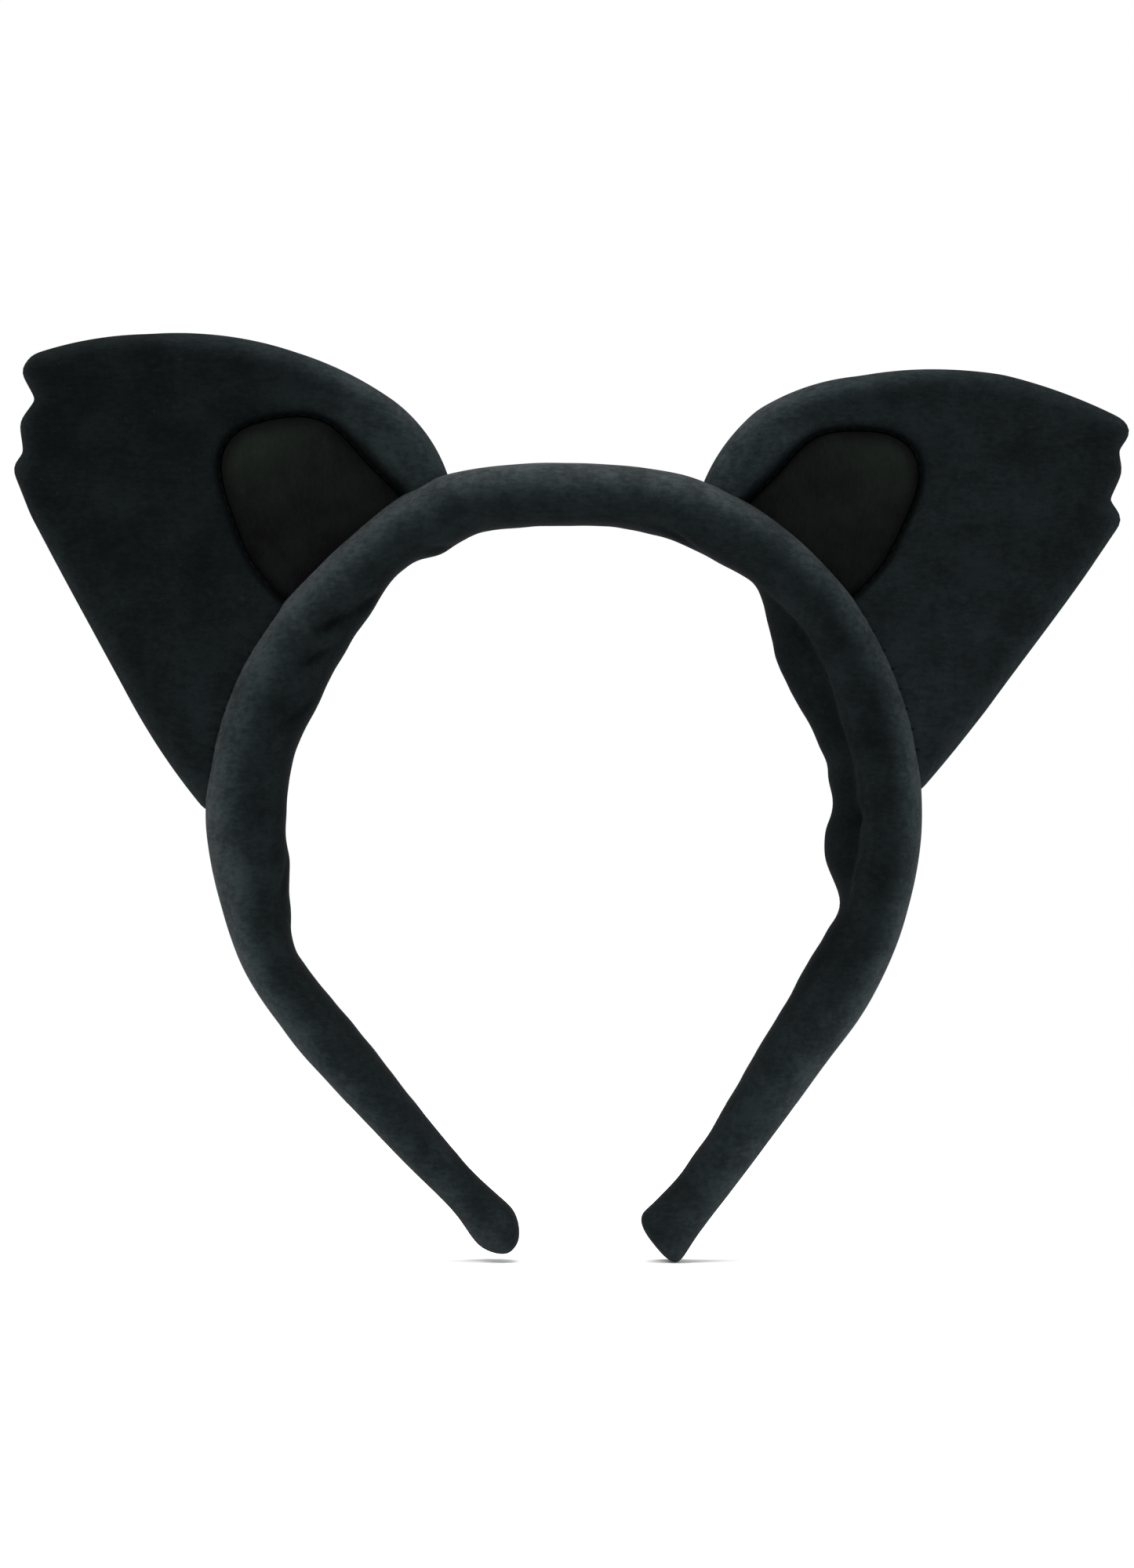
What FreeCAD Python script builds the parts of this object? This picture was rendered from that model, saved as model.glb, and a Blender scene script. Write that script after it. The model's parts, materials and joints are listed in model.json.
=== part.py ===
"""Animal ears headband: a padded velour hoop with two large stuffed ears.

Frame: millimetres, +Z up as worn, +X to the viewer's right seen from the front, the front faces -Y.
The origin is the centre of the hoop's round inner face, which is what a head fills.
Left and right are the sides seen from the front: left is -X.

The hoop is a sprung core strip inside foam, inside a sewn velour sleeve. It bends in one piece; here
each layer is cut at the two places near the crown where the bending is gathered into a sprung hinge.
"""
import FreeCAD, Part
import math
import os
import Sketcher
from FreeCAD import Placement, Rotation, Vector

SIZES = [
    # alias, value, what it is (mm, or degrees where it says angle)
    ("seat_radius", 60.0, "radius of the hoop's inner face"),
    ("band_thickness", 17.0, "seat to rim, at the sides"),
    ("rim_drop", 2.2, "how far the outer circle's centre lies below the inner one's"),
    ("band_depth", 20.0, "front to back size of the padded band"),
    ("rim_round", 6.5, "rounding of the band's two outer edges"),
    ("seat_round", 3.0, "rounding of the band's two inner edges"),
    ("knee_radius", 12.0, "inner bend where a side turns into its leg"),
    ("left_knee_drop", 25.5, "straight stretch below the seat, left"),
    ("right_knee_drop", 18.5, "straight stretch below the seat, right"),
    ("left_inner_lean", 39.2, "angle of the left leg's inner line from upright"),
    ("right_inner_lean", 31.0, "angle of the right leg's inner line from upright"),
    ("left_outer_lean", 45.0, "angle of the left leg's outer line from upright"),
    ("right_outer_lean", 36.9, "angle of the right leg's outer line from upright"),
    ("left_inner_end", 87.0, "how far down the left leg's inner line ends"),
    ("left_outer_end", 92.5, "how far down the left leg's outer line ends"),
    ("right_inner_end", 86.5, "how far down the right leg's inner line ends"),
    ("right_outer_end", 94.5, "how far down the right leg's outer line ends"),
    ("fabric", 1.2, "velour with its backing"),
    ("hem", 2.5, "how far the foam stops short of the sleeve's end"),
    ("core_share", 0.28, "of the band's thickness, seat face to the core strip"),
    ("core_thickness", 1.6, "sprung plastic strip"),
    ("core_width", 8.0, "strip, front to back"),
    ("core_short", 7.0, "how far the core stops short of the sleeve's end"),
    ("flex_angle", 12.0, "angle of each flex line from the top of the hoop"),
    ("flex_gap", 0.3, "gap between the pieces at a flex line"),
    ("squeeze_room", 5.5, "angle of the wedge left open for squeezing inwards"),
    ("ear_thickness", 14.0, "stuffed ear, front to back"),
    ("ear_setback", 2.5, "ear's middle plane behind the band's"),
    ("shoulder_scale", 0.95, "ear outline where its edge starts to round over"),
    ("face_scale", 0.83, "ear outline at its flat front and back"),
    ("left_ear_base", 88.6, "left ear's base, seam end to seam end"),
    ("left_ear_reach", 88.0, "left ear's base line to its highest tip"),
    ("left_ear_start", 18.9, "angle from the top to the left ear's upper seam end"),
    ("left_ear_tilt", 54.3, "angle of the left ear's base line below level"),
    ("right_ear_base", 80.6, "right ear's base, seam end to seam end"),
    ("right_ear_reach", 82.0, "right ear's base line to its highest tip"),
    ("right_ear_start", 23.0, "angle from the top to the right ear's upper seam end"),
    ("right_ear_tilt", 54.9, "angle of the right ear's base line below level"),
    ("patch_groove", 1.0, "recess round the smooth inner patch"),
    ("patch_corner", 8.0, "rounding of the patch's outer corners"),
    ("thread_radius", 0.4, "sewing thread, doubled"),
    ("stitch_length", 4.0, "one hand stitch"),
    ("cap_radius", 6.2, "rounded end of the left leg, across"),
    ("cap_length", 7.0, "rounded end of the left leg, beyond the sleeve"),
    ("fold_length", 3.6, "folded end of the right leg"),
    ("fold_width", 9.6, "folded end of the right leg, across the leg"),
    ("fold_shift", 0.8, "how far the fold is pulled towards the leg's inner line"),
    ("fold_round", 1.4, "edge rounding of the folded end"),
]

SIDES = (("left", -1), ("right", 1))

# Each ear's outline as (share of its base, share of its reach), from the upper seam end round to the
# lower one. A third value is the bulge of the curve that leads to the next point, as a share of the
# chord between them. The three soft points of fur are the tips between the notches.
EAR_OUTLINE = {
    "left": [
        (0.0, 0.0, 0.08), (-0.08, 0.22, 0.04), (-0.035, 0.485, 0.05), (0.14, 0.808, 0.04),
        (0.345, 1.01, 0.0), (0.385, 1.01, 0.0), (0.42, 0.937, 0.0), (0.49, 0.938, 0.0),
        (0.545, 0.885, 0.0), (0.59, 0.887, 0.0), (0.655, 0.785, 0.0), (0.87, 0.35, 0.03),
        (1.0, 0.0, 0.0),
    ],
    "right": [
        (0.0, 0.0, 0.07), (-0.088, 0.243, 0.06), (0.0, 0.51, 0.04), (0.22, 0.82, 0.03),
        (0.5, 1.01, 0.0), (0.525, 1.01, 0.0), (0.545, 0.955, 0.0), (0.60, 0.93, 0.0),
        (0.643, 0.857, 0.0), (0.705, 0.857, 0.0), (0.76, 0.715, 0.0), (0.92, 0.28, 0.01),
        (1.0, 0.0, 0.0),
    ],
}

# The smooth inner patch, in the same shares; its first and last corners lie under the band.
PATCH_OUTLINE = {
    "left": [(0.055, 0.0), (0.055, 0.355), (0.245, 0.55), (0.54, 0.13)],
    "right": [(0.055, 0.0), (0.05, 0.33), (0.245, 0.60), (0.53, 0.12)],
}

# The roundings take no more than these shares of the slimmest leg's width.
RIM_ROUND_SHARE = 0.66
SEAT_ROUND_SHARE = 0.31

# The hoop's outer radius, from the sizes that set it.
RIM = "(Sizes.seat_radius + Sizes.band_thickness)"

# Which stretches of the seams are stitched, and how often.
PATCH_STITCHES = 5
BASE_STITCHES = 9
SEAM_STITCHES = {"crown": 4, "left": 9, "right": 9}
SEAM_STEP = 6.0          # angle between the stitches that close the sleeve
TIP_STITCH_SPREAD = 2.6  # between the stitches at a leg's end


def make_sheet(doc):
    """Put every driving size in the sheet, under its alias."""
    sheet = doc.addObject("Spreadsheet::Sheet", "Sizes")
    for row, (alias, number, meaning) in enumerate(SIZES, start=1):
        sheet.set(f"A{row}", meaning)
        sheet.set(f"B{row}", str(number))
        sheet.setAlias(f"B{row}", alias)
    doc.recompute()
    return sheet


def value(expression):
    """A sheet expression's number now."""
    result = probe.evalExpression(expression)
    return float(getattr(result, "Value", result))


def size(alias):
    return value(f"Sizes.{alias}")


# ---------------------------------------------------------------- sketches

def add_sketch(body, name, forward="0"):
    """A sketch on the body's own XZ plane, moved forward (towards the front) by an expression."""
    sketch = body.newObject("Sketcher::SketchObject", name)
    plane = next(item for item in body.Origin.OriginFeatures if item.Role == "XZ_Plane")
    sketch.AttachmentSupport = [(plane, "")]
    sketch.MapMode = "FlatFace"
    sketch.setExpression("AttachmentOffset.Base.z", forward)
    return sketch


def arc_between(start, end, radius, turn):
    """The short arc from start to end, turning left (+1) or right (-1)."""
    chord = end - start
    rise = math.sqrt(max(radius ** 2 - chord.Length ** 2 / 4, 0.0))
    left = Vector(-chord.y, chord.x, 0).normalize()
    centre = (start + end) / 2 + left * rise * turn
    first, last = (start, end) if turn > 0 else (end, start)
    angles = [math.atan2(point.y - centre.y, point.x - centre.x) for point in (first, last)]
    if angles[1] < angles[0]:
        angles[1] += 2 * math.pi
    return Part.ArcOfCircle(Part.Circle(centre, Vector(0, 0, 1), radius), angles[0], angles[1])


def draw_outline(sketch, corners):
    """Draw a closed outline. A corner is (x, z) or (x, z, radius, turn), as sheet expressions.

    Each corner's place is held by two driven dimensions. The radius and the turn belong to the arc
    from that corner to the next; without them the two are joined by a line.
    """
    places = [Vector(value(corner[0]), value(corner[1]), 0) for corner in corners]
    ends = []
    for index, corner in enumerate(corners):
        start, end = places[index], places[(index + 1) % len(corners)]
        if len(corner) == 2:
            sketch.addGeometry(Part.LineSegment(start, end), False)
            ends.append((1, 2))
        else:
            turn = corner[3]
            sketch.addGeometry(arc_between(start, end, value(corner[2]), turn), False)
            ends.append((1, 2) if turn > 0 else (2, 1))
    for index, corner in enumerate(corners):
        before = index - 1 if index else len(corners) - 1
        sketch.addConstraint(Sketcher.Constraint("Coincident", before, ends[before][1], index, ends[index][0]))
        for kind, expression, place in (
            ("DistanceX", corner[0], places[index].x),
            ("DistanceY", corner[1], places[index].y),
        ):
            number = sketch.addConstraint(Sketcher.Constraint(kind, index, ends[index][0], place))
            sketch.setExpression(f"Constraints[{number}]", expression)
        if len(corner) > 2:
            number = sketch.addConstraint(Sketcher.Constraint("Radius", index, value(corner[2])))
            sketch.setExpression(f"Constraints[{number}]", corner[2])


# ---------------------------------------------------------------- features

def new_body(name):
    body = doc.addObject("PartDesign::Body", name)
    body.Label = name
    return body


def pad_through(body, sketch, length):
    """Pad a sketch by an expression, half to the front and half to the back."""
    pad = body.newObject("PartDesign::Pad", "Pad")
    pad.Profile = sketch
    pad.SideType = "Symmetric"
    pad.setExpression("Length", length)
    doc.recompute()
    return pad


def round_edges(body, base, names, radius):
    fillet = body.newObject("PartDesign::Fillet", "Fillet")
    fillet.Base = (base, names)
    fillet.setExpression("Radius", radius)
    doc.recompute()
    return fillet


def boolean(kind, name, base, tool):
    """Part::Cut, Part::Common or Part::Fuse of two objects."""
    result = doc.addObject(kind, name)
    result.Base = base
    result.Tool = tool
    result.Label = name
    doc.recompute()
    return result


def placed(point, direction):
    """A placement at a point whose Z axis runs along a direction."""
    return Placement(point, Rotation(Vector(0, 0, 1), direction))


def make_stitches(name, stitches):
    """Threads as one group: each a short cylinder centred on a point, along a direction."""
    threads = []
    length = size("stitch_length")
    for number, (point, direction) in enumerate(stitches):
        thread = doc.addObject("Part::Cylinder", f"{name}_{number}")
        thread.setExpression("Radius", "Sizes.thread_radius")
        thread.setExpression("Height", "Sizes.stitch_length")
        along = Vector(direction).normalize()
        thread.Placement = placed(Vector(point) - along * length / 2, along)
        threads.append(thread)
    group = doc.addObject("Part::Compound", name)
    group.Links = threads
    group.Label = name
    return group


# ---------------------------------------------------------------- the hoop's layers

def inner_run(side, sign, offset, short):
    """From the seat's widest point down the inside of one leg, moved outwards by offset."""
    lean = f"Sizes.{side}_inner_lean"
    drop = f"Sizes.{side}_knee_drop"
    bend = f"(Sizes.knee_radius + {offset})"
    turn_x = f"(Sizes.seat_radius - Sizes.knee_radius + {bend} * cos({lean}))"
    turn_z = f"({drop} + {bend} * sin({lean}))"
    end_z = f"(Sizes.{side}_inner_end - {short})"
    end_x = f"({turn_x} - ({end_z} - {turn_z}) * tan({lean}))"
    side_x = f"(Sizes.seat_radius + {offset})"
    return [
        (f"{sign} * {side_x}", "0"),
        (f"{sign} * {side_x}", f"-{drop}"),
        (f"{sign} * {turn_x}", f"-{turn_z}"),
        (f"{sign} * {end_x}", f"-{end_z}"),
    ], bend


def outer_run(side, sign, inset, short):
    """From where the outer circle lets go down the outside of one leg, moved inwards by inset."""
    lean = f"Sizes.{side}_outer_lean"
    radius = f"({RIM} - {inset})"
    turn_x = f"({radius} * cos({lean}))"
    turn_z = f"(Sizes.rim_drop + {radius} * sin({lean}))"
    end_z = f"(Sizes.{side}_outer_end - {short})"
    end_x = f"({turn_x} - ({end_z} - {turn_z}) * tan({lean}))"
    return [(f"{sign} * {turn_x}", f"-{turn_z}"), (f"{sign} * {end_x}", f"-{end_z}")], radius


def seat_side(offset, short):
    """The inside of the whole hoop, from the right leg's end over the top to the left leg's end."""
    right, bend = inner_run("right", 1, offset, short)
    left, _ = inner_run("left", -1, offset, short)
    radius = f"(Sizes.seat_radius + {offset})"
    return [
        right[3],
        (*right[2], bend, 1),
        right[1],
        (*right[0], radius, 1),
        ("0", radius, radius, 1),
        left[0],
        (*left[1], bend, 1),
        left[2],
        left[3],
    ]


def rim_side(inset, short):
    """The outside of the whole hoop, from the left leg's end over the top to the right leg's end."""
    left, radius = outer_run("left", -1, inset, short)
    right, _ = outer_run("right", 1, inset, short)
    return [
        left[1],
        (*left[0], radius, -1),
        ("0", f"{radius} - Sizes.rim_drop", radius, -1),
        right[0],
        right[1],
    ]


def reversed_run(corners):
    """The same outline travelled the other way: each arc's data moves to its other end."""
    turned = []
    for index in range(len(corners) - 1, -1, -1):
        arc = corners[index - 1][2:] if index else ()
        flipped = (arc[0], -arc[1]) if arc else ()
        turned.append((*corners[index][:2], *flipped))
    return turned


def is_rim_edge(edge, middle):
    """Tell the outer edges from the inner ones by how far their line or circle is from the centre."""
    if isinstance(edge.Curve, Part.Circle):
        return edge.Curve.Radius > middle
    centre = Vector(0, edge.Vertexes[0].Point.y, -size("rim_drop"))
    return centre.distanceToLine(edge.Curve.Location, edge.Curve.Direction) > middle


def round_layer(body, pad, rim_round, seat_round):
    """Round the long edges of a padded layer; its two ends stay flat."""
    half = max(vertex.Point.y for vertex in pad.Shape.Vertexes)
    middle = (size("seat_radius") + value(RIM)) / 2
    shortest_leg = size("band_depth") * 0.8
    rims, seats = [], []
    for number, edge in enumerate(pad.Shape.Edges, start=1):
        in_face = all(abs(abs(vertex.Point.y) - half) < 0.01 for vertex in edge.Vertexes)
        crosses = abs(edge.Vertexes[0].Point.y - edge.Vertexes[-1].Point.y) > 0.01
        leg_end = isinstance(edge.Curve, Part.Line) and edge.Length < shortest_leg
        if crosses or leg_end or not in_face:
            continue
        (rims if is_rim_edge(edge, middle) else seats).append(f"Edge{number}")
    rounded = round_edges(body, pad, rims, rim_round)
    # the seat edges keep their curves, so they are found again by their ends
    wanted = [pad.Shape.getElement(name).CenterOfMass for name in seats]
    names = [
        f"Edge{number}"
        for number, edge in enumerate(rounded.Shape.Edges, start=1)
        if any(edge.CenterOfMass.distanceToPoint(place) < 0.05 for place in wanted)
    ]
    return round_edges(body, rounded, names, seat_round)


def leg_width(side, sign):
    """The width of a leg at its end, as a sheet expression."""
    inner = inner_run(side, sign, "0", "0")[0][3]
    outer = outer_run(side, sign, "0", "0")[0][1]
    return f"((({inner[0]}) - ({outer[0]}))^2 + (({inner[1]}) - ({outer[1]}))^2)^0.5"


def make_layer(name, inset, short):
    """One closed layer of the hoop, inset from the sleeve's outer skin all round."""
    body = new_body(name)
    sketch = add_sketch(body, f"{name}_outline")
    draw_outline(sketch, seat_side(inset, short) + rim_side(inset, short))
    pad = pad_through(body, sketch, f"Sizes.band_depth - 2 * ({inset})")
    slimmest = f"min({leg_width('left', -1)}; {leg_width('right', 1)})"
    rim_round = f"min(Sizes.rim_round; {RIM_ROUND_SHARE} * {slimmest}) - ({inset})"
    seat_round = f"min(Sizes.seat_round; {SEAT_ROUND_SHARE} * {slimmest}) - ({inset})"
    round_layer(body, pad, rim_round, seat_round)
    return body


def make_core():
    """The sprung strip that follows the hoop's inside."""
    body = new_body("core_whole")
    sketch = add_sketch(body, "core_outline")
    inset = "(Sizes.core_share * Sizes.band_thickness)"
    inner = seat_side(inset, "Sizes.core_short")
    outer = seat_side(f"({inset} + Sizes.core_thickness)", "Sizes.core_short")
    draw_outline(sketch, inner + reversed_run(outer))
    pad_through(body, sketch, "Sizes.core_width")
    return body


def make_regions():
    """The three stretches that the hoop's layers are cut into, with the flex gaps between them."""
    far = f"(2 * {RIM})"
    regions = {}
    body = new_body("region_crown")
    apex = "(Sizes.flex_gap / 2 / sin(Sizes.flex_angle) - Sizes.rim_drop)"
    spread = f"(({far} - {apex}) * tan(Sizes.flex_angle))"
    sketch = add_sketch(body, "region_crown_outline")
    draw_outline(sketch, [("0", apex), (spread, far), (f"-{spread}", far)])
    pad_through(body, sketch, far)
    regions["crown"] = body
    for side, sign in SIDES:
        body = new_body(f"region_{side}")
        lean = "(Sizes.flex_angle - Sizes.squeeze_room)"
        pivot_x = f"({RIM} * sin(Sizes.flex_angle) + Sizes.flex_gap / 2)"
        pivot_z = f"({RIM} * cos(Sizes.flex_angle) - Sizes.rim_drop)"
        low_x = f"({pivot_x} - {pivot_z} * tan({lean}))"
        high_x = f"({pivot_x} + ({far} - {pivot_z}) * tan({lean}))"
        outline = [
            (f"{sign} * {high_x}", far),
            (f"{sign} * {low_x}", "0"),
            ("0", "-Sizes.seat_radius / 2"),
            ("0", f"-{far}"),
            (f"{sign} * {far}", f"-{far}"),
            (f"{sign} * {far}", far),
        ]
        sketch = add_sketch(body, f"region_{side}_outline")
        draw_outline(sketch, outline)
        pad_through(body, sketch, far)
        regions[side] = body
    return regions


# ---------------------------------------------------------------- the ears

def ear_placement(side, sign):
    """Where an ear's own frame stands: X along its base, Z away from the hoop."""
    start = math.radians(size(f"{side}_ear_start"))
    rim = value(RIM)
    point = Vector(
        sign * rim * math.sin(start),
        size("ear_setback"),
        rim * math.cos(start) - size("rim_drop"),
    )
    tilt = size(f"{side}_ear_tilt") * sign
    return Placement(point, Rotation(Vector(0, 1, 0), tilt))


def ear_corners(side, sign, scale):
    """The ear's outline drawn about the middle of its base at a scale, as sheet expressions."""
    corners = []
    base, reach = f"Sizes.{side}_ear_base", f"Sizes.{side}_ear_reach"
    outline = EAR_OUTLINE[side]
    for index, (along, out, bulge) in enumerate(outline):
        x = f"{sign} * {base} * (0.5 + ({along} - 0.5) * {scale})"
        z = f"{reach} * {out} * {scale}"
        if not bulge:
            corners.append((x, z))
            continue
        next_along, next_out, _ = outline[index + 1]
        across = f"{base} * ({next_along} - {along})"
        up = f"{reach} * ({next_out} - {out})"
        chord = f"(({across})^2 + ({up})^2)^0.5"
        share = abs(bulge)
        radius = f"{scale} * {chord} * (1 + 4 * {share}^2) / (8 * {share})"
        turn = -sign if bulge > 0 else sign
        corners.append((x, z, radius, turn))
    return corners


def make_ear_half(name, side, sign, inset, facing):
    """One stuffed half: full outline at the middle plane, rounded over to a flat face."""
    body = new_body(name)
    shrink = f"(1 - 1.6 * {inset} / Sizes.{side}_ear_reach)"
    half = f"(Sizes.ear_thickness / 2 - {inset})"
    stages = [
        ("middle", shrink, "0"),
        ("shoulder", f"({shrink} * Sizes.shoulder_scale)", f"{facing} * {half} * 0.6"),
        ("face", f"({shrink} * Sizes.face_scale)", f"{facing} * {half}"),
    ]
    sketches = []
    for stage, scale, forward in stages:
        sketch = add_sketch(body, f"{name}_{stage}", forward)
        draw_outline(sketch, ear_corners(side, sign, scale))
        sketches.append(sketch)
    doc.recompute()
    loft = body.newObject("PartDesign::AdditiveLoft", "Loft")
    loft.Profile = sketches[0]
    loft.Sections = sketches[1:]
    loft.Ruled = True
    body.Placement = ear_placement(side, sign)
    doc.recompute()
    return body


def patch_corners(side, sign):
    base, reach = f"Sizes.{side}_ear_base", f"Sizes.{side}_ear_reach"
    return [(f"{sign} * {base} * {along}", f"{reach} * {out}") for along, out in PATCH_OUTLINE[side]]


def grown(corners, sign, gap):
    """Move a four-cornered outline's three free sides outwards by an expression."""
    (x0, z0), (x1, z1), (x2, z2), (x3, z3) = corners
    return [
        (f"{x0} - {sign} * {gap}", z0),
        (f"{x1} - {sign} * {gap}", f"{z1} + 0.5 * {gap}"),
        (f"{x2} + {sign} * 0.7 * {gap}", f"{z2} + 1.3 * {gap}"),
        (f"{x3} + {sign} * 1.2 * {gap}", z3),
    ]


def make_patch_block(name, side, sign, gap, back, front):
    """The patch's outline as a block between two depths, with its two outer corners rounded."""
    body = new_body(name)
    sketch = add_sketch(body, f"{name}_outline", back)
    draw_outline(sketch, grown(patch_corners(side, sign), sign, gap))
    pad = body.newObject("PartDesign::Pad", "Pad")
    pad.Profile = sketch
    pad.setExpression("Length", f"({front}) - ({back})")
    doc.recompute()
    reach = size(f"{side}_ear_reach")
    uprights = [
        f"Edge{number}"
        for number, edge in enumerate(pad.Shape.Edges, start=1)
        if abs(edge.Vertexes[0].Point.y - edge.Vertexes[-1].Point.y) > 0.01
        and edge.CenterOfMass.z > 0.2 * reach
    ]
    round_edges(body, pad, uprights, f"Sizes.patch_corner + {gap}")
    body.Placement = ear_placement(side, sign)
    doc.recompute()
    return body


def make_ear_cutter(envelope):
    """The hoop with its inside closed, so that nothing of an ear is left within the rim."""
    inside = doc.addObject("Part::Cylinder", "hoop_inside")
    inside.setExpression("Radius", "Sizes.seat_radius + Sizes.band_thickness / 2")
    inside.setExpression("Height", "4 * Sizes.band_depth")
    inside.Placement = placed(Vector(0, -2 * size("band_depth"), 0), Vector(0, 1, 0))
    return boolean("Part::Fuse", "ear_cutter", envelope, inside)


def make_ear(side, sign, cutter):
    """One ear: two velour panels over a foam filling, a smooth patch let into the front."""
    parts = []
    half = "Sizes.ear_thickness / 2"
    skins, fills = {}, {}
    for face, facing in (("front", 1), ("back", -1)):
        skins[face] = make_ear_half(f"ear_{side}_{face}_skin", side, sign, "0", facing)
        fills[face] = make_ear_half(f"ear_{side}_{face}_fill", side, sign, "Sizes.fabric", facing)
    opening = make_patch_block(
        f"ear_{side}_opening", side, sign, "Sizes.patch_groove",
        f"{half} - Sizes.fabric", f"{half} + Sizes.fabric",
    )
    patch = make_patch_block(
        f"ear_{side}_patch_block", side, sign, "0", f"{half} - Sizes.fabric", half,
    )
    for face in ("front", "back"):
        shell = boolean("Part::Cut", f"ear_{side}_{face}_shell", skins[face], fills[face])
        if face == "front":
            shell = boolean("Part::Cut", f"ear_{side}_opened_shell", shell, opening)
        parts.append(boolean("Part::Cut", f"ear_{face}_panel_{side}", shell, cutter))
    filling = boolean("Part::Fuse", f"ear_{side}_filling", fills["front"], fills["back"])
    parts.append(boolean("Part::Cut", f"ear_foam_{side}", filling, cutter))
    parts.append(boolean("Part::Cut", f"ear_patch_{side}", patch, cutter))
    parts.append(make_patch_stitches(side, sign))
    parts.append(make_base_stitches(side, sign))
    return parts


def make_patch_stitches(side, sign):
    """Threads across the groove along the patch's three free sides."""
    placement = ear_placement(side, sign)
    corners = [Vector(value(x), 0, value(z)) for x, z in patch_corners(side, sign)]
    forward = Vector(0, -size("ear_thickness") / 2 + size("thread_radius") / 2, 0)
    middle = (corners[0] + corners[1] + corners[2] + corners[3]) / 4
    stitches = []
    for first, last, low, high in ((0, 1, 0.55, 0.8), (1, 2, 0.25, 0.75), (2, 3, 0.25, 0.75)):
        edge = corners[last] - corners[first]
        across = Vector(-edge.z, 0, edge.x).normalize()
        if across.dot(corners[first] - middle) < 0:
            across = -across
        for number in range(PATCH_STITCHES):
            share = low + (high - low) * number / (PATCH_STITCHES - 1)
            point = corners[first] + edge * share + across * size("patch_groove") / 2 + forward
            stitches.append((placement.multVec(point), placement.Rotation.multVec(across)))
    return make_stitches(f"ear_patch_stitches_{side}", stitches)


def make_base_stitches(side, sign):
    """Ladder stitches that hold the ear's front panel to the sleeve's rim."""
    rim = value(RIM)
    start = size(f"{side}_ear_start")
    span = 2 * math.degrees(math.asin(size(f"{side}_ear_base") / 2 / rim))
    y = size("ear_setback") - size("ear_thickness") / 2
    stitches = []
    for number in range(BASE_STITCHES):
        angle = math.radians(start + span * (0.16 + 0.68 * number / (BASE_STITCHES - 1)))
        outward = Vector(sign * math.sin(angle), 0, math.cos(angle))
        point = outward * (rim - 0.3) + Vector(0, y, -size("rim_drop"))
        stitches.append((point, outward))
    return make_stitches(f"ear_base_stitches_{side}", stitches)


# ---------------------------------------------------------------- seams and leg ends

def make_seam_stitches(name, first_angle, count, sign):
    """Threads that close the sleeve along the inner edge of its back."""
    stitches = []
    back = size("band_depth") / 2 - size("thread_radius") / 2
    radius = size("seat_radius") + size("seat_round") + size("stitch_length") / 2
    for number in range(count):
        angle = math.radians(first_angle + sign * SEAM_STEP * number)
        outward = Vector(math.sin(angle), 0, math.cos(angle))
        stitches.append((outward * radius + Vector(0, back, 0), outward))
    return make_stitches(name, stitches)


def leg_end(side, sign):
    """The middle of a leg's end face, the way the leg points and the way across it."""
    inner = inner_run(side, sign, "0", "0")[0][3]
    outer = outer_run(side, sign, "0", "0")[0][1]
    corners = [Vector(value(x), 0, value(z)) for x, z in (inner, outer)]
    across = (corners[1] - corners[0]).normalize()
    along = Vector(-across.z, 0, across.x) * -sign
    return (corners[0] + corners[1]) / 2, along, across


def make_tip_stitches(side, sign):
    point, along, across = leg_end(side, sign)
    depth = size("band_depth") / 2 - size("thread_radius") / 2
    stitches = []
    for face in (-1, 1):
        for shift in (-0.5, 0.5):
            place = point + across * TIP_STITCH_SPREAD * shift + Vector(0, face * depth, 0)
            stitches.append((place, along))
    return make_stitches(f"tip_stitches_{side}", stitches)


def make_round_cap(side, sign, envelope):
    """The gathered, rounded end of a leg."""
    point, along, _ = leg_end(side, sign)
    ball = doc.addObject("Part::Ellipsoid", f"tip_ball_{side}")
    ball.setExpression("Radius1", "Sizes.cap_length")
    ball.setExpression("Radius2", "Sizes.cap_radius")
    ball.setExpression("Radius3", "Sizes.band_depth / 2 - Sizes.thread_radius / 2")
    ball.Placement = placed(point, along)
    doc.recompute()
    return boolean("Part::Cut", f"tip_cap_{side}", ball, envelope)


def make_folded_end(side, sign, envelope):
    """The flat, folded end of a leg."""
    point, along, across = leg_end(side, sign)
    block = doc.addObject("Part::Box", f"tip_block_{side}")
    block.setExpression("Length", "Sizes.fold_width")
    block.setExpression("Width", "Sizes.band_depth - Sizes.thread_radius")
    block.setExpression("Height", "Sizes.fold_length + Sizes.rim_round")
    matrix = FreeCAD.Matrix(
        across.x, 0, along.x, 0,
        0, 1, 0, 0,
        across.z, 0, along.z, 0,
    )
    turned = Rotation(matrix)
    corner = Vector(
        -size("fold_width") / 2 - size("fold_shift"),
        -(size("band_depth") - size("thread_radius")) / 2,
        -size("rim_round"),
    )
    block.Placement = Placement(point + turned.multVec(corner), turned)
    doc.recompute()
    fillet = doc.addObject("Part::Fillet", f"tip_rounded_{side}")
    fillet.Base = block
    radius = size("fold_round")
    fillet.Edges = [(number + 1, radius, radius) for number in range(len(block.Shape.Edges))]
    doc.recompute()
    return boolean("Part::Cut", f"tip_cap_{side}", fillet, envelope)


# ---------------------------------------------------------------- assembly

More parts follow.
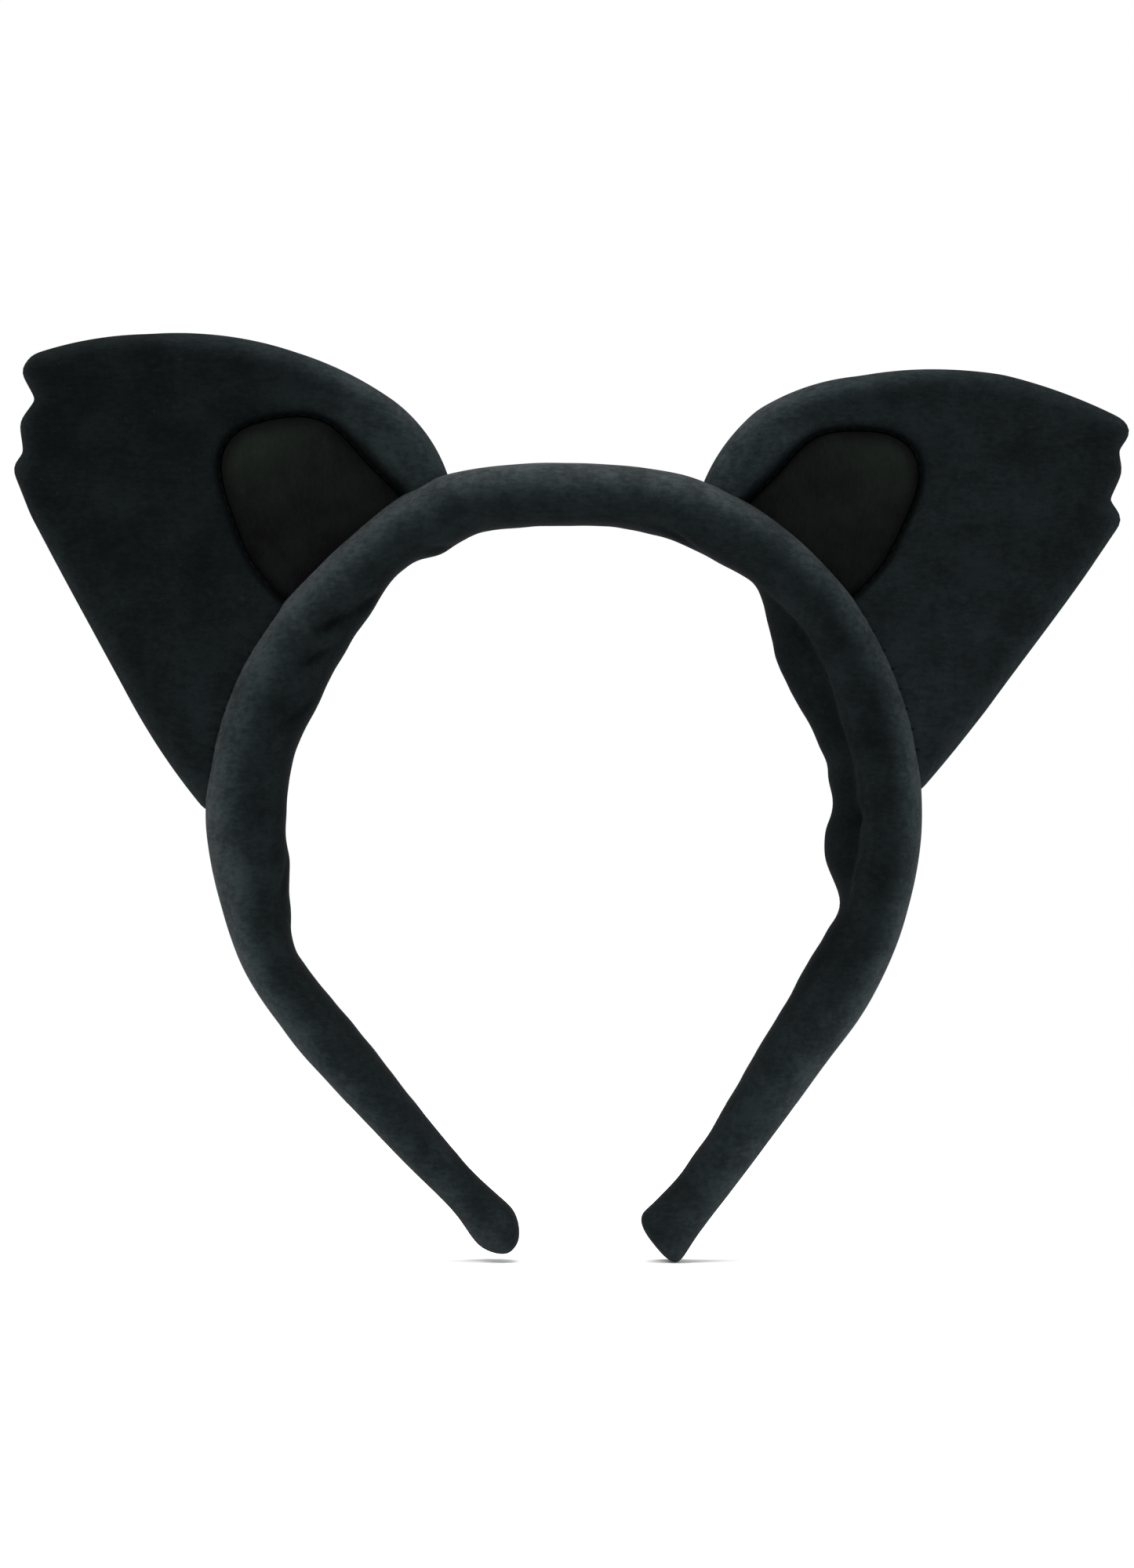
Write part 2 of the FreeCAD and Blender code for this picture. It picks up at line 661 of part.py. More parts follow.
def make_hoop(regions, envelope):
    """Sleeve, foam and core, each cut into crown, left and right."""
    cavity = make_layer("cavity", "Sizes.fabric", "Sizes.hem")
    bore = make_layer("sleeve_bore", "Sizes.fabric", "-1 * Sizes.hem")
    core = make_core()
    layers = {
        "sleeve": boolean("Part::Cut", "sleeve_whole", envelope, bore),
        "padding": boolean("Part::Cut", "padding_whole", cavity, core),
        "core": core,
    }
    return [
        boolean("Part::Common", f"{layer}_{stretch}", whole, region)
        for layer, whole in layers.items()
        for stretch, region in regions.items()
    ]


def check_objects():
    """Stop if anything in the document failed to recompute."""
    for item in doc.Objects:
        if "Invalid" in item.State or "Error" in item.State:
            raise RuntimeError(f"{item.Name} failed: {item.State}")


def export(parts):
    for item in parts:
        shape = item.Shape
        if shape.isNull() or not shape.isValid() or not shape.Solids:
            raise RuntimeError(f"{item.Label} has no valid solid")
        shape.exportStep(f"parts/{item.Label}.step")
        print(f"{item.Label}: {len(shape.Solids)} solids, {shape.Volume:.0f} mm3")


os.makedirs("parts", exist_ok=True)
doc = FreeCAD.newDocument("animal_ears_headband")
make_sheet(doc)
probe = doc.addObject("App::FeaturePython", "Probe")

hoop_envelope = make_layer("hoop_envelope", "0", "0")
pieces = make_hoop(make_regions(), hoop_envelope)
ear_cutter = make_ear_cutter(hoop_envelope)
for side_name, side_sign in SIDES:
    pieces += make_ear(side_name, side_sign, ear_cutter)
    pieces.append(make_tip_stitches(side_name, side_sign))
pieces.append(make_round_cap("left", -1, hoop_envelope))
pieces.append(make_folded_end("right", 1, hoop_envelope))
crown_start = -SEAM_STEP * (SEAM_STITCHES["crown"] - 1) / 2
pieces.append(make_seam_stitches("seam_stitches_crown", crown_start, SEAM_STITCHES["crown"], 1))
for side_name, side_sign in SIDES:
    first = side_sign * (size("flex_angle") + SEAM_STEP)
    pieces.append(
        make_seam_stitches(f"seam_stitches_{side_name}", first, SEAM_STITCHES[side_name], side_sign)
    )
doc.recompute()
check_objects()
export(pieces)
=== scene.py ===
"""Looks of the animal ears headband: a padded velour hoop with two large stuffed ears."""

import json
import math
from functools import partial

import bpy
from bpy.props import FloatProperty, FloatVectorProperty, PointerProperty
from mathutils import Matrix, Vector, geometry, kdtree, noise


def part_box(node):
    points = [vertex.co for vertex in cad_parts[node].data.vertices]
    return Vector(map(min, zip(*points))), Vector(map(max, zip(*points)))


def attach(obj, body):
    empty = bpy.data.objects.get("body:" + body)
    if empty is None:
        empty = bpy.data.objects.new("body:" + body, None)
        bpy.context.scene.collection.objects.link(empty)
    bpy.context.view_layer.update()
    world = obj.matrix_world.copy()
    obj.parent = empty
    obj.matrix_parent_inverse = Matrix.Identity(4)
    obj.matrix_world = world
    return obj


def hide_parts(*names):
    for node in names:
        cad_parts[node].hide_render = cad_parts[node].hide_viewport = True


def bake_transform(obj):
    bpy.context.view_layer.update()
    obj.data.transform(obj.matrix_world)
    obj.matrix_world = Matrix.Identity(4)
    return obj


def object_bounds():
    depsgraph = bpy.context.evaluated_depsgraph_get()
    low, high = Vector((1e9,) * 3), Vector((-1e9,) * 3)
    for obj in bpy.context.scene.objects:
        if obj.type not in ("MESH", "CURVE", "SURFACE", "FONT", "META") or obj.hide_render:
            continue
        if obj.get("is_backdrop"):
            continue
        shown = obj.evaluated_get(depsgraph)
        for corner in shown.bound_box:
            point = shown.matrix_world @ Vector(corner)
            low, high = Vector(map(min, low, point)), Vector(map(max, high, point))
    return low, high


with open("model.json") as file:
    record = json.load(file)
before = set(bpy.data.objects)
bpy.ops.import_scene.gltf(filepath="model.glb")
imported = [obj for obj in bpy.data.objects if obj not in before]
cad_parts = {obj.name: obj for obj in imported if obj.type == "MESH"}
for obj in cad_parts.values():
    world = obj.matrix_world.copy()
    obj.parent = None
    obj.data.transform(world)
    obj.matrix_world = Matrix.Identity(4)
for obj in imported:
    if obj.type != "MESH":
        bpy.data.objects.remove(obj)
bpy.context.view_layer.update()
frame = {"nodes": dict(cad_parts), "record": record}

bl_info = {
    "name": "Animal Ears Headband",
    "version": (1, 0, 0),
    "blender": (4, 5, 0),
    "location": "3D View > Sidebar > Headband",
    "description": "Builds the velour, the patches, the stitching and the studio round the headband's frame",
    "category": "Object",
}

MM = 0.001
PAINTED_LIGHT_ATTRIBUTE = "painted_light_and_wear"           # the attribute that holds painted light and shade, with how far the pile is brushed up
SIDES = {"left": -1, "right": 1}
SEAT = frame["record"]["mounts"][0]["dims"]["r_mm"]
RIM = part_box("sleeve_right")[1].x / MM
RIM_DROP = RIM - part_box("sleeve_crown")[1].z / MM
RIM_CENTRE = Vector((0, -RIM_DROP))
EAR_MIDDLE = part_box("ear_front_panel_left")[1].y / MM
EAR_HALF = EAR_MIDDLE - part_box("ear_front_panel_left")[0].y / MM

# How each side turns into its leg, in mm and degrees: the drop below the seat before the inner bend, the
# lean of the inner and the outer line, and how far down each line runs before the end is closed.
KNEE_RADIUS = 12.0
LEGS = {
    "left": {"drop": 25.5, "inner_lean": 39.2, "outer_lean": 45.0, "inner_end": 87.0, "outer_end": 92.5},
    "right": {"drop": 18.5, "inner_lean": 31.0, "outer_lean": 36.9, "inner_end": 86.5, "outer_end": 94.5},
}

# The sleeve is loose on its inner side. Each pair is a distance along the seat from the top, to the right,
# and a width in mm. TUBE is how far out of the seat's own line the firm tube lies, HANG how far the loose
# cloth of the right side hangs inwards from it.
TUBE = [
    (-206, -0.4), (-200, -1.0), (-193, -1.1), (-186, -0.4), (-178, -0.1), (-130, -0.4), (-118, -1.0),
    (-112, -0.5), (-106, -0.9), (-99, 0.2), (-88, -0.7), (-80, -1.2), (-71, -2.3), (-58, -2.3),
    (-46, -0.6), (-38.5, 1.7), (-32.5, 2.4), (-27, 0.9), (-19, 2.2), (-10, 1.4),
    (0, 0.8), (10, 1.9), (21, 2.7), (35, 2.8), (42, 3.8), (46, 3.2), (58, 3.3), (70, 2.2), (79, 1.9),
    (87, 2.2), (93, 2.9), (101, 3.2), (108, 1.6), (115, 0.9), (121, 0.3), (140, 0.5), (172, 0.8),
    (185, 0.0), (194, -2.1), (200, -4.0),
]
HANG = [
    (40, 0.0), (43, 0.2), (46, 1.4), (51, 4.7), (57, 7.4), (64, 8.4), (70, 8.0), (77, 6.2), (84, 4.8),
    (89, 5.1), (94, 4.8), (101, 6.7), (108, 5.0), (114, 1.0), (118, 0.0),
]
# Where the cloth is drawn in: distance along, degrees round from the rim, length, spread and depth. Each
# dimple slants by so many degrees in a mm.
DIMPLE_SLANT = 3.0
DIMPLES = (
    (-53, 114, 3.4, 10, 1.7), (-61, 120, 3.0, 9, 1.4), (-46, 138, 3.0, 10, 1.0), (-27, 150, 2.6, 15, 0.9),
    (-74, 132, 4.0, 8, 0.6), (24, 150, 4.0, 9, 0.6), (96, 150, 2.6, 12, 1.0), (-110, 150, 5.0, 10, 0.5),
)
# CROWN is how far out of the rim's own line the cloth lies: it is tight there, flatter at the top, then full.
CROWN = [
    (-200, 0.3), (-160, -0.1), (-150, -0.5), (-140, -1.0), (-124, -0.4), (-112, -0.5), (-96, 0.4),
    (-79, 0.6), (-63, -0.2), (-47, -1.1), (-38, -0.5), (-29, 1.0), (-21, 1.8), (-15, 1.1), (-8, 0.3),
    (0, -0.1), (8, 0.2), (15, 0.9), (21, 1.9), (28, 2.2), (60, 1.7), (96, 0.7), (112, 0.2), (140, 0.5),
    (180, 0.8), (200, 0.4),
]


# ---- small helpers

def track(points, x, soften=1.6):
    """A value that runs straight from point to point, averaged a little so its corners are soft."""
    total = 0.0
    for step in (-1.0, -0.5, 0.0, 0.5, 1.0):
        at = x + step * soften
        if at <= points[0][0]:
            total += points[0][1]
            continue
        for (x0, y0), (x1, y1) in zip(points, points[1:]):
            if at <= x1:
                total += y0 + (y1 - y0) * (at - x0) / (x1 - x0)
                break
        else:
            total += points[-1][1]
    return total / 5


def bump(x, middle, width):
    """A smooth hill one high."""
    return math.exp(-(((x - middle) / width) ** 2))


def smooth(low, high, x):
    share = min(max((x - low) / (high - low), 0.0), 1.0)
    return share * share * (3 - 2 * share)


def wander(point, size, seed):
    """Smooth noise from -1 to 1 whose lumps are about a size in mm."""
    return noise.noise(Vector(point) / size + Vector((seed, seed * 1.7, -seed)))


def mesh_object(name, vertices, faces, material):
    """A smooth-shaded object from vertices in mm; the object itself stays at the origin."""
    mesh = bpy.data.meshes.new(name)
    mesh.from_pydata([Vector(v) * MM for v in vertices], [], faces)
    mesh.polygons.foreach_set("use_smooth", [True] * len(mesh.polygons))
    mesh.materials.append(material)
    piece = bpy.data.objects.new(name, mesh)
    bpy.context.scene.collection.objects.link(piece)
    return piece


def pairs(loop):
    """Each item of a closed loop with the next one."""
    return zip(loop, loop[1:] + loop[:1])


def neighbours(loop):
    """Each item of a closed loop between the one before and the next one."""
    return zip(loop[-1:] + loop[:-1], loop, loop[1:] + loop[:1])


# ---- nodes and materials

def fill(tree, node, values):
    """Set a node's sockets, or link those that are given another node's socket."""
    for key, given in values.items():
        source = given.socket if isinstance(given, Wave) else given
        if isinstance(source, bpy.types.NodeSocket):
            tree.links.new(source, node.inputs[key])
        else:
            node.inputs[key].default_value = source


def add_node(tree, kind, settings=None, values=None):
    """Any node: its settings first, then the values or links of its sockets."""
    node = tree.nodes.new(kind)
    for key, setting in (settings or {}).items():
        setattr(node, key, setting)
    fill(tree, node, values or {})
    return node


def math_node(operation, reflected=False):
    """A method that adds the Math node of an operator, with its sides swapped when reflected."""
    def method(self, other):
        sides = (other, self) if reflected else (self, other)
        node = self.shader.node("ShaderNodeMath", {"operation": operation}, dict(enumerate(sides)))
        return Wave(self.shader, node.outputs[0])
    return method


class Wave:
    """A shader socket that Python's arithmetic turns into Math nodes."""

    __add__ = math_node("ADD")
    __radd__ = math_node("ADD", reflected=True)
    __sub__ = math_node("SUBTRACT")
    __rsub__ = math_node("SUBTRACT", reflected=True)
    __mul__ = math_node("MULTIPLY")
    __rmul__ = math_node("MULTIPLY", reflected=True)
    __pow__ = math_node("POWER")

    def __init__(self, shader, socket):
        self.shader = shader
        self.socket = socket

    def between(self, low, high):
        """From 0 at low to 1 at high, smoothly."""
        node = self.shader.node(
            "ShaderNodeMapRange",
            {"interpolation_type": "SMOOTHSTEP"},
            {"Value": self, "From Min": low, "From Max": high},
        )
        return Wave(self.shader, node.outputs[0])


class Shader:
    """Builds one node material."""

    def __init__(self, name):
        self.material = bpy.data.materials.new(name)
        self.material.use_nodes = True
        self.tree = self.material.node_tree
        self.surface = self.tree.nodes["Principled BSDF"]
        self.place = self.node("ShaderNodeTexCoord").outputs["Object"]

    def node(self, kind, settings=None, values=None):
        return add_node(self.tree, kind, settings, values)

    def stretched(self, scale, turn=(0, 0, 0)):
        """Object coordinates turned and stretched."""
        node = self.node("ShaderNodeMapping", None, {"Vector": self.place, "Scale": scale, "Rotation": turn})
        return node.outputs[0]

    def speckle(self, lump, detail=3.0, rough=0.5, vector=None):
        """Noise from 0 to 1 whose lumps are about a size in mm."""
        values = {"Vector": vector or self.place, "Scale": 1 / (lump * MM)}
        values.update(Detail=detail, Roughness=rough)
        return Wave(self, self.node("ShaderNodeTexNoise", None, values).outputs["Fac"])

    def cells(self, size):
        """Distance inside small cells, from 0 in the middle."""
        values = {"Vector": self.place, "Scale": 1 / (size * MM)}
        return Wave(self, self.node("ShaderNodeTexVoronoi", None, values).outputs["Distance"])

    def lit_and_worn(self):
        """The painted light and shade, with the pile's wear, from 0 to 1, as stored on the piece."""
        return Wave(self, self.node("ShaderNodeAttribute", {"attribute_name": PAINTED_LIGHT_ATTRIBUTE}).outputs["Fac"])

    def blend(self, factor, low, high):
        """A colour between two."""
        node = self.node("ShaderNodeMix", {"data_type": "RGBA"}, {"Factor": factor, "A": low, "B": high})
        return node.outputs["Result"]

    def relief(self, height, depth, strength=1.0):
        """A bump normal from a height that is depth mm high."""
        values = {"Height": height, "Distance": depth * MM, "Strength": strength}
        return self.node("ShaderNodeBump", None, values).outputs["Normal"]

    def finish(self, fixed, **varying):
        """Set the surface's own sockets and link what changes over it."""
        fill(self.tree, self.surface, fixed)
        fill(self.tree, self.surface, {key.replace("_", " "): given for key, given in varying.items()})
        return self.material


def colour(rgb):
    return (*rgb, 1.0)


def velour_material(settings):
    """Short dense pile: dark, mottled where it is brushed, paler where the stored attribute paints light on it.
    """
    shader = Shader("velour")
    brushed = shader.speckle(9.0, 4.0, 0.6)
    streaks = shader.speckle(1.0, 3.0, 0.6, shader.stretched((0.35, 1.0, 1.4), (0.0, 0.5, 0.0)))
    pile = shader.speckle(0.45, 2.0, 0.7)
    tufts = shader.cells(0.55)
    lint = shader.speckle(1.6, 2.0, 0.5).between(0.66, 0.78)
    lit_and_worn = shader.lit_and_worn()
    grain = shader.speckle(1.5, 4.0, 0.75)
    mottle = (brushed * 0.40 + streaks * 0.25 + grain * 0.35).between(0.38, 0.62)
    shade = (lit_and_worn * (0.73 + mottle * 0.54)) ** 1.5
    # the lit colour: a painted rim highlight, more neutral where the stored painted light is high
    lit_pile_colour = shader.blend(
        lit_and_worn.between(0.45, 0.85), colour(settings.velour_light), colour(settings.velour_rim_lit))
    base = shader.blend(shade, colour(settings.velour_dark), lit_pile_colour)
    base = shader.blend(lint * 0.25, base, colour(settings.lint))
    height = pile * 0.5 + (1.0 - tufts) * 0.35 + streaks * 0.5
    fixed = {
        "Specular IOR Level": 0.02,
        "Sheen Weight": settings.sheen,
        "Sheen Roughness": 0.45,
        "Sheen Tint": colour(settings.sheen_tint),
    }
    return shader.finish(
        fixed, Base_Color=base, Roughness=0.82 + brushed * 0.16, Normal=shader.relief(height, 0.28, 0.7))


def felt_material(settings):
    """The smooth inner patch: flat, brownish black, paler towards its top by painted light, with cloudy
    mottling.
    """
    shader = Shader("smooth_felt")
    fibres = shader.speckle(0.8, 5.0, 0.7, shader.stretched((1.0, 1.0, 0.4)))
    cloudy = shader.speckle(7.0, 3.0, 0.5)
    lit_and_worn = shader.lit_and_worn()
    # painted light and shade from the stored attribute, with cloudy fibre mottling
    rubbed = lit_and_worn * 0.7 + (cloudy * 0.5 + fibres * 0.5).between(0.35, 0.65) * 0.3
    base = shader.blend(rubbed, colour(settings.felt_dark), colour(settings.felt_light))
    fixed = {"Specular IOR Level": 0.03, "Sheen Weight": settings.sheen * 0.3, "Sheen Roughness": 0.6}
    return shader.finish(
        fixed, Base_Color=base, Roughness=0.78 + fibres * 0.15, Normal=shader.relief(fibres, 0.12, 0.6))


def thread_material(settings):
    """Doubled black sewing thread with its twist."""
    shader = Shader("thread")
    twist = shader.speckle(0.3, 2.0, 0.6, shader.stretched((1.0, 1.0, 2.5), (0.6, 0.4, 0.0)))
    base = shader.blend(twist, colour(settings.thread_dark), colour(settings.thread_light))
    fixed = {"Specular IOR Level": 0.03, "Sheen Weight": settings.sheen * 0.5}
    return shader.finish(
        fixed, Base_Color=base, Roughness=0.6 + twist * 0.25, Normal=shader.relief(twist, 0.1))


def plastic_material(settings):
    """The sprung strip inside: black, faintly scuffed along its length."""
    shader = Shader("spring_plastic")
    scuff = shader.speckle(0.6, 3.0, 0.6, shader.stretched((0.2, 1.0, 0.2)))
    base = shader.blend(scuff.between(0.4, 0.8), colour(settings.plastic), colour(settings.plastic_scuffed))
    return shader.finish(
        {"IOR": 1.5}, Base_Color=base, Roughness=0.35 + scuff * 0.3, Normal=shader.relief(scuff, 0.02))


def paper_material(settings):
    """The studio's pale floor."""
    shader = Shader("studio_paper")
    grain = shader.speckle(2.0, 3.0, 0.5)
    paler = [min(c * 1.01, 1.0) for c in settings.paper]
    base = shader.blend(grain, colour(settings.paper), colour(paler))
    return shader.finish({"Specular IOR Level": 0.1}, Base_Color=base, Roughness=0.9 + grain * 0.05)


def material(name):
    return bpy.data.materials[name]


# ---- the hoop's lines

def seat_length(side):
    """Where the seat ends, the bend starts, the leg starts and the leg ends, along the inner line."""
    leg = LEGS[side]
    lean = math.radians(leg["inner_lean"])
    round_end = SEAT * math.pi / 2
    bend_start = round_end + leg["drop"]
    leg_start = bend_start + KNEE_RADIUS * lean
    turn_z = leg["drop"] + KNEE_RADIUS * math.sin(lean)
    return round_end, bend_start, leg_start, leg_start + (leg["inner_end"] - turn_z) / math.cos(lean)


def ways(turn):
    """The way out of the hoop and the way down it, so many radians below its widest part."""
    return Vector((math.cos(turn), -math.sin(turn))), Vector((-math.sin(turn), -math.cos(turn)))


def inner_line(side, along):
    """A point of the seat's line and the way out of the hoop there; x is towards the side."""
    leg = LEGS[side]
    lean = math.radians(leg["inner_lean"])
    round_end, bend_start, leg_start, _ = seat_length(side)
    if along <= round_end:
        angle = along / SEAT
        out = Vector((math.sin(angle), math.cos(angle)))
        return out * SEAT, out
    if along <= bend_start:
        return Vector((SEAT, round_end - along)), Vector((1, 0))
    out, down = ways(min((along - bend_start) / KNEE_RADIUS, lean))
    point = Vector((SEAT - KNEE_RADIUS, -leg["drop"])) + out * KNEE_RADIUS
    return point + down * max(along - leg_start, 0.0), out


def outer_line(side, share):
    """A point of the rim's line and the way out; share is 0 at the side's middle, 1 at the leg's end."""
    leg = LEGS[side]
    lean = math.radians(leg["outer_lean"])
    turn_z = RIM_DROP + RIM * math.sin(lean)
    straight = (leg["outer_end"] - turn_z) / math.cos(lean)
    along = share * (RIM * lean + straight)
    out, down = ways(min(along / RIM, lean))
    return RIM_CENTRE + out * RIM + down * max(along - RIM * lean, 0.0), out


def hoop_lines(along):
    """The firm tube's inner and outer edge at a distance from the top, and how far loose cloth hangs in."""
    side = "left" if along < 0 else "right"
    sign = SIDES[side]
    reach = abs(along)
    inner, inner_out = inner_line(side, reach)
    round_end, _, _, end = seat_length(side)
    if reach <= round_end:
        angle = reach / SEAT
        outer_out = Vector((math.sin(angle), math.cos(angle)))
        outer = RIM_CENTRE + outer_out * RIM
    else:
        outer, outer_out = outer_line(side, (reach - round_end) / (end - round_end))
    inner = inner + inner_out * track(TUBE, along)
    outer = outer + outer_out * track(CROWN, along)
    hang = track(HANG, along)
    return Vector((inner.x * sign, 0, inner.y)), Vector((outer.x * sign, 0, outer.y)), hang


# ---- the sleeve

AROUND = 96
STEP = 1.0              # mm between rings along the hoop
HALF_DEPTH = 10.0       # half the band, front to back
SQUARENESS = 2.25       # of the section; 2 is a plain ellipse
SEAM_TURN = 236         # degrees round from the rim, over the front, to the sleeve's seam
FOLD_TURN = 204         # the same to the middle of the loose fold
CREASE_TURN = 156       # and to the crease between the fold and the tube
TIP_REACH = {"left": 7.6, "right": 5.6}     # how far the closed end runs past the sleeve's own end
TIP_LENGTH = 12.0       # mm at each end with closer rings
TIP_RINGS = 22
KNOB_ROUND = 6.5        # how far back the left leg's gathered end is round
KNOB_POWER = 2.4        # of that roundness; 2 is a plain ellipse
HEM_ROUND = 3.2         # the same for the right leg's flat fold


def ring_places():
    """Distances along the hoop at which the sleeve has a ring; 0, the top, is one of them."""
    rings = {}
    for side in SIDES:
        end = seat_length(side)[3] + TIP_REACH[side]
        plain = end - TIP_LENGTH
        count = round(plain / STEP)
        rings[side] = [plain * number / count for number in range(count)]
        # closer and closer together towards the closed end
        rings[side] += [end - TIP_LENGTH * (1 - number / TIP_RINGS) ** 2 for number in range(TIP_RINGS + 1)]
    return [-place for place in reversed(rings["left"][1:])] + rings["right"]


def end_shape(along):
    """How wide, how deep and how square the sleeve is near its closed ends, as shares and an exponent."""
    side = "left" if along < 0 else "right"
    to_go = seat_length(side)[3] + TIP_REACH[side] - abs(along)
    if side == "left":
        closing = (1 - max(1 - to_go / KNOB_ROUND, 0.0) ** KNOB_POWER) ** (1 / KNOB_POWER)
        swell = 1 + 0.27 * bump(to_go, 6.0, 5.0) - 0.05 * bump(to_go, 17, 6)
        return closing * swell, closing * (1 - 0.28 * smooth(60, 8, to_go)) * swell, SQUARENESS
    closing = max(1 - max(1 - to_go / HEM_ROUND, 0.0) ** 3.2, 0.0) ** 0.42
    deep = closing * (1 - 0.22 * smooth(60, 6, to_go))
    return closing * (1 + 0.05 * bump(to_go, 3, 3)), deep, SQUARENESS + 1.6 * smooth(9, 3, to_go)


def drawn_in(along, turn):
    """How deep the slanted dimples draw the cloth in."""
    total = 0.0
    for place, around, length, spread, depth in DIMPLES:
        slanted = around + (along - place) * DIMPLE_SLANT
        total += depth * bump(along, place, length) * bump(math.degrees(turn), slanted, spread)
    return total


def sleeve_point(along, turn, lines):
    """A point of the sleeve's skin. The turn is 0 at the rim, then goes over the front to the seat."""
    inner, outer, hang = lines
    wide, deep, square = end_shape(along)
    middle = (inner + outer) / 2
    out = (outer - inner).normalized()
    half_width = (outer - inner).length / 2
    c, f = math.cos(turn), math.sin(turn)
    round_off = (abs(c) ** square + abs(f) ** square) ** (-1 / square)
    degrees = math.degrees(turn)
    # loose cloth: a fold that hangs inwards at the back, with a crease between it and the tube
    loose = hang * bump(degrees, FOLD_TURN, 34)
    crease = min(hang, 6.0) * 0.2 * bump(degrees, CREASE_TURN, 11) + 0.25 * bump(degrees, SEAM_TURN, 7)
    x = c * round_off * half_width * wide
    y = -f * round_off * HALF_DEPTH * deep
    away = Vector((c, -f)).normalized()
    seat_side = smooth(95, 150, degrees) * smooth(285, 215, degrees)
    gathers = wander((along, degrees / 14, 0), 4.2, 3) * 0.25 + wander((along, degrees / 9, 0), 10.0, 5) * 0.6
    lumps = wander((along, math.sin(turn) * 9, math.cos(turn) * 9), 14.0, 8) * 0.3
    proud = loose - crease + (gathers * seat_side * (0.5 + 0.12 * hang) + lumps) * wide
    proud -= drawn_in(along, turn)
    x += away.x * proud
    y += away.y * proud
    return middle + out * x + Vector((0, y, 0))


def rim_painted_light_and_wear(along, turn):
    """The stored painted light with the pile's wear, from 0 to 1: a painted highlight most along the outer rim
    and the crown, weaker on the right and the legs; painted shade least lit towards the seat, in the dimples,
    on the left leg and where the left tube meets the ear; random patches.
    """
    c = math.cos(turn)          # 1 at the rim, -1 at the seat
    patchy = wander((along, c * 6, 0), 7.0, 15) * 0.05
    right = smooth(15, 60, along) * smooth(160, 120, along)
    legs = smooth(112, 160, abs(along))
    quiet = 0.30 - 0.07 * right + 0.06 * legs
    bright = 0.80 - 0.08 * right - 0.12 * legs
    # painted highlight rising towards the outer rim
    rise = smooth(-0.35 + 0.35 * right, 1.05, c)
    # painted shade towards the seat side, less of it on the loose fold
    seat = 0.12 * smooth(-0.5, -0.95, c) - 0.08 * min(track(HANG, along), 3.0) * smooth(-0.2, -0.8, c) / 3
    # painted shade in the dimples
    drawn = drawn_in(along, turn) * 0.09
    front = smooth(-0.9, 0.2, c) * smooth(1.0, 0.6, c)
    # painted shade on the left leg and on the front where the left tube meets the ear
    shaded = 0.06 * bump(along, -152, 26) + 0.09 * bump(along, -70, 24) * front
    return min(max(quiet + (bright - quiet) * rise - seat - drawn - shaded + patchy, 0.0), 1.0)


def set_painted_light_and_wear(piece, values):
    """Store the painted light and shade with the pile's wear, from 0 to 1, for the velour and the felt to read.
    """
    layer = piece.data.attributes.new(PAINTED_LIGHT_ATTRIBUTE, "FLOAT", "POINT")
    layer.data.foreach_set("value", values)


def make_sleeve():
    """The whole sleeve as one skin, then its left and right halves, which meet unseen at the top."""
    places = ring_places()
    vertices = []
    lit_and_worn = []
    for along in places:
        lines = hoop_lines(along)
        for number in range(AROUND):
            turn = 2 * math.pi * number / AROUND
            vertices.append(sleeve_point(along, turn, lines))
            lit_and_worn.append(rim_painted_light_and_wear(along, turn))
    faces = []
    for ring in range(len(places) - 1):
        for number in range(AROUND):
            after = (number + 1) % AROUND
            low, high = ring * AROUND, (ring + 1) * AROUND
            faces.append((low + number, low + after, high + after, high + number))
    whole = mesh_object("whole_sleeve", vertices, faces, material("velour"))
    normals = [v.normal.copy() for v in whole.data.vertices]
    top = places.index(0.0)
    halves = {}
    for side, rings in (("left", range(0, top + 1)), ("right", range(top, len(places)))):
        first, end = rings[0] * AROUND, (rings[-1] + 1) * AROUND
        own, own_normals = vertices[first:end], normals[first:end]
        own_faces = [
            tuple(corner - first for corner in face) for face in faces if first <= min(face) and max(face) < end
        ]
        last = len(own) - AROUND
        tip = range(0, AROUND) if side == "left" else range(last, last + AROUND)
        joint = range(last, last + AROUND) if side == "left" else range(0, AROUND)
        for loop, outwards in ((tip, side == "left"), (joint, side == "right")):
            middle = sum((own[corner] for corner in loop), Vector()) / AROUND
            own.append(middle)
            own_normals.append(Vector((0, 0, -1)) if loop is tip else Vector((-SIDES[side], 0, 0)))
            for number in range(AROUND):
                one, two = loop[number], loop[(number + 1) % AROUND]
                own_faces.append((two, one, len(own) - 1) if outwards else (one, two, len(own) - 1))
        piece = mesh_object(f"sleeve_{side}_half", own, own_faces, material("velour"))
        piece.data.normals_split_custom_set_from_vertices(own_normals)
        set_painted_light_and_wear(piece, lit_and_worn[first:first + len(own) - 2] + [0.5, 0.5])
        halves[side] = piece
    bpy.data.objects.remove(whole)
    return halves


# ---- the ears

EAR_GRID = 1.25         # between the points that fill a panel
PATCH_GRID = 1.3
PATCH_THICKNESS = 1.3
OUTLINE_STEP = 0.9      # between the points of an ear's outline, and of a patch's below
PATCH_STEP = 0.8
FINE_STEP = 0.3         # between the points that distances are measured to
FLAT_WITHIN = 0.02      # how near a plane a CAD point has to be to lie in it
UNDER_BAND = 6.0        # how far an outline runs in under the band
PANEL_GAP = 0.01        # how far the closing face of a panel lies past the middle plane
GROOVE = 1.3            # half the width of the dip round the patch
GROOVE_DEPTH = 3.0
GROOVE_RINGS = (-1.6, -0.8, 0.0, 0.8, 1.6, 2.6)         # where rings of points follow it, out from the patch
EDGE_ROLL = 7.5         # how far in from its edge an ear is still rounding over
CORNER_TUCK = 4.6       # how far the fold at the crown hides the patch's corner
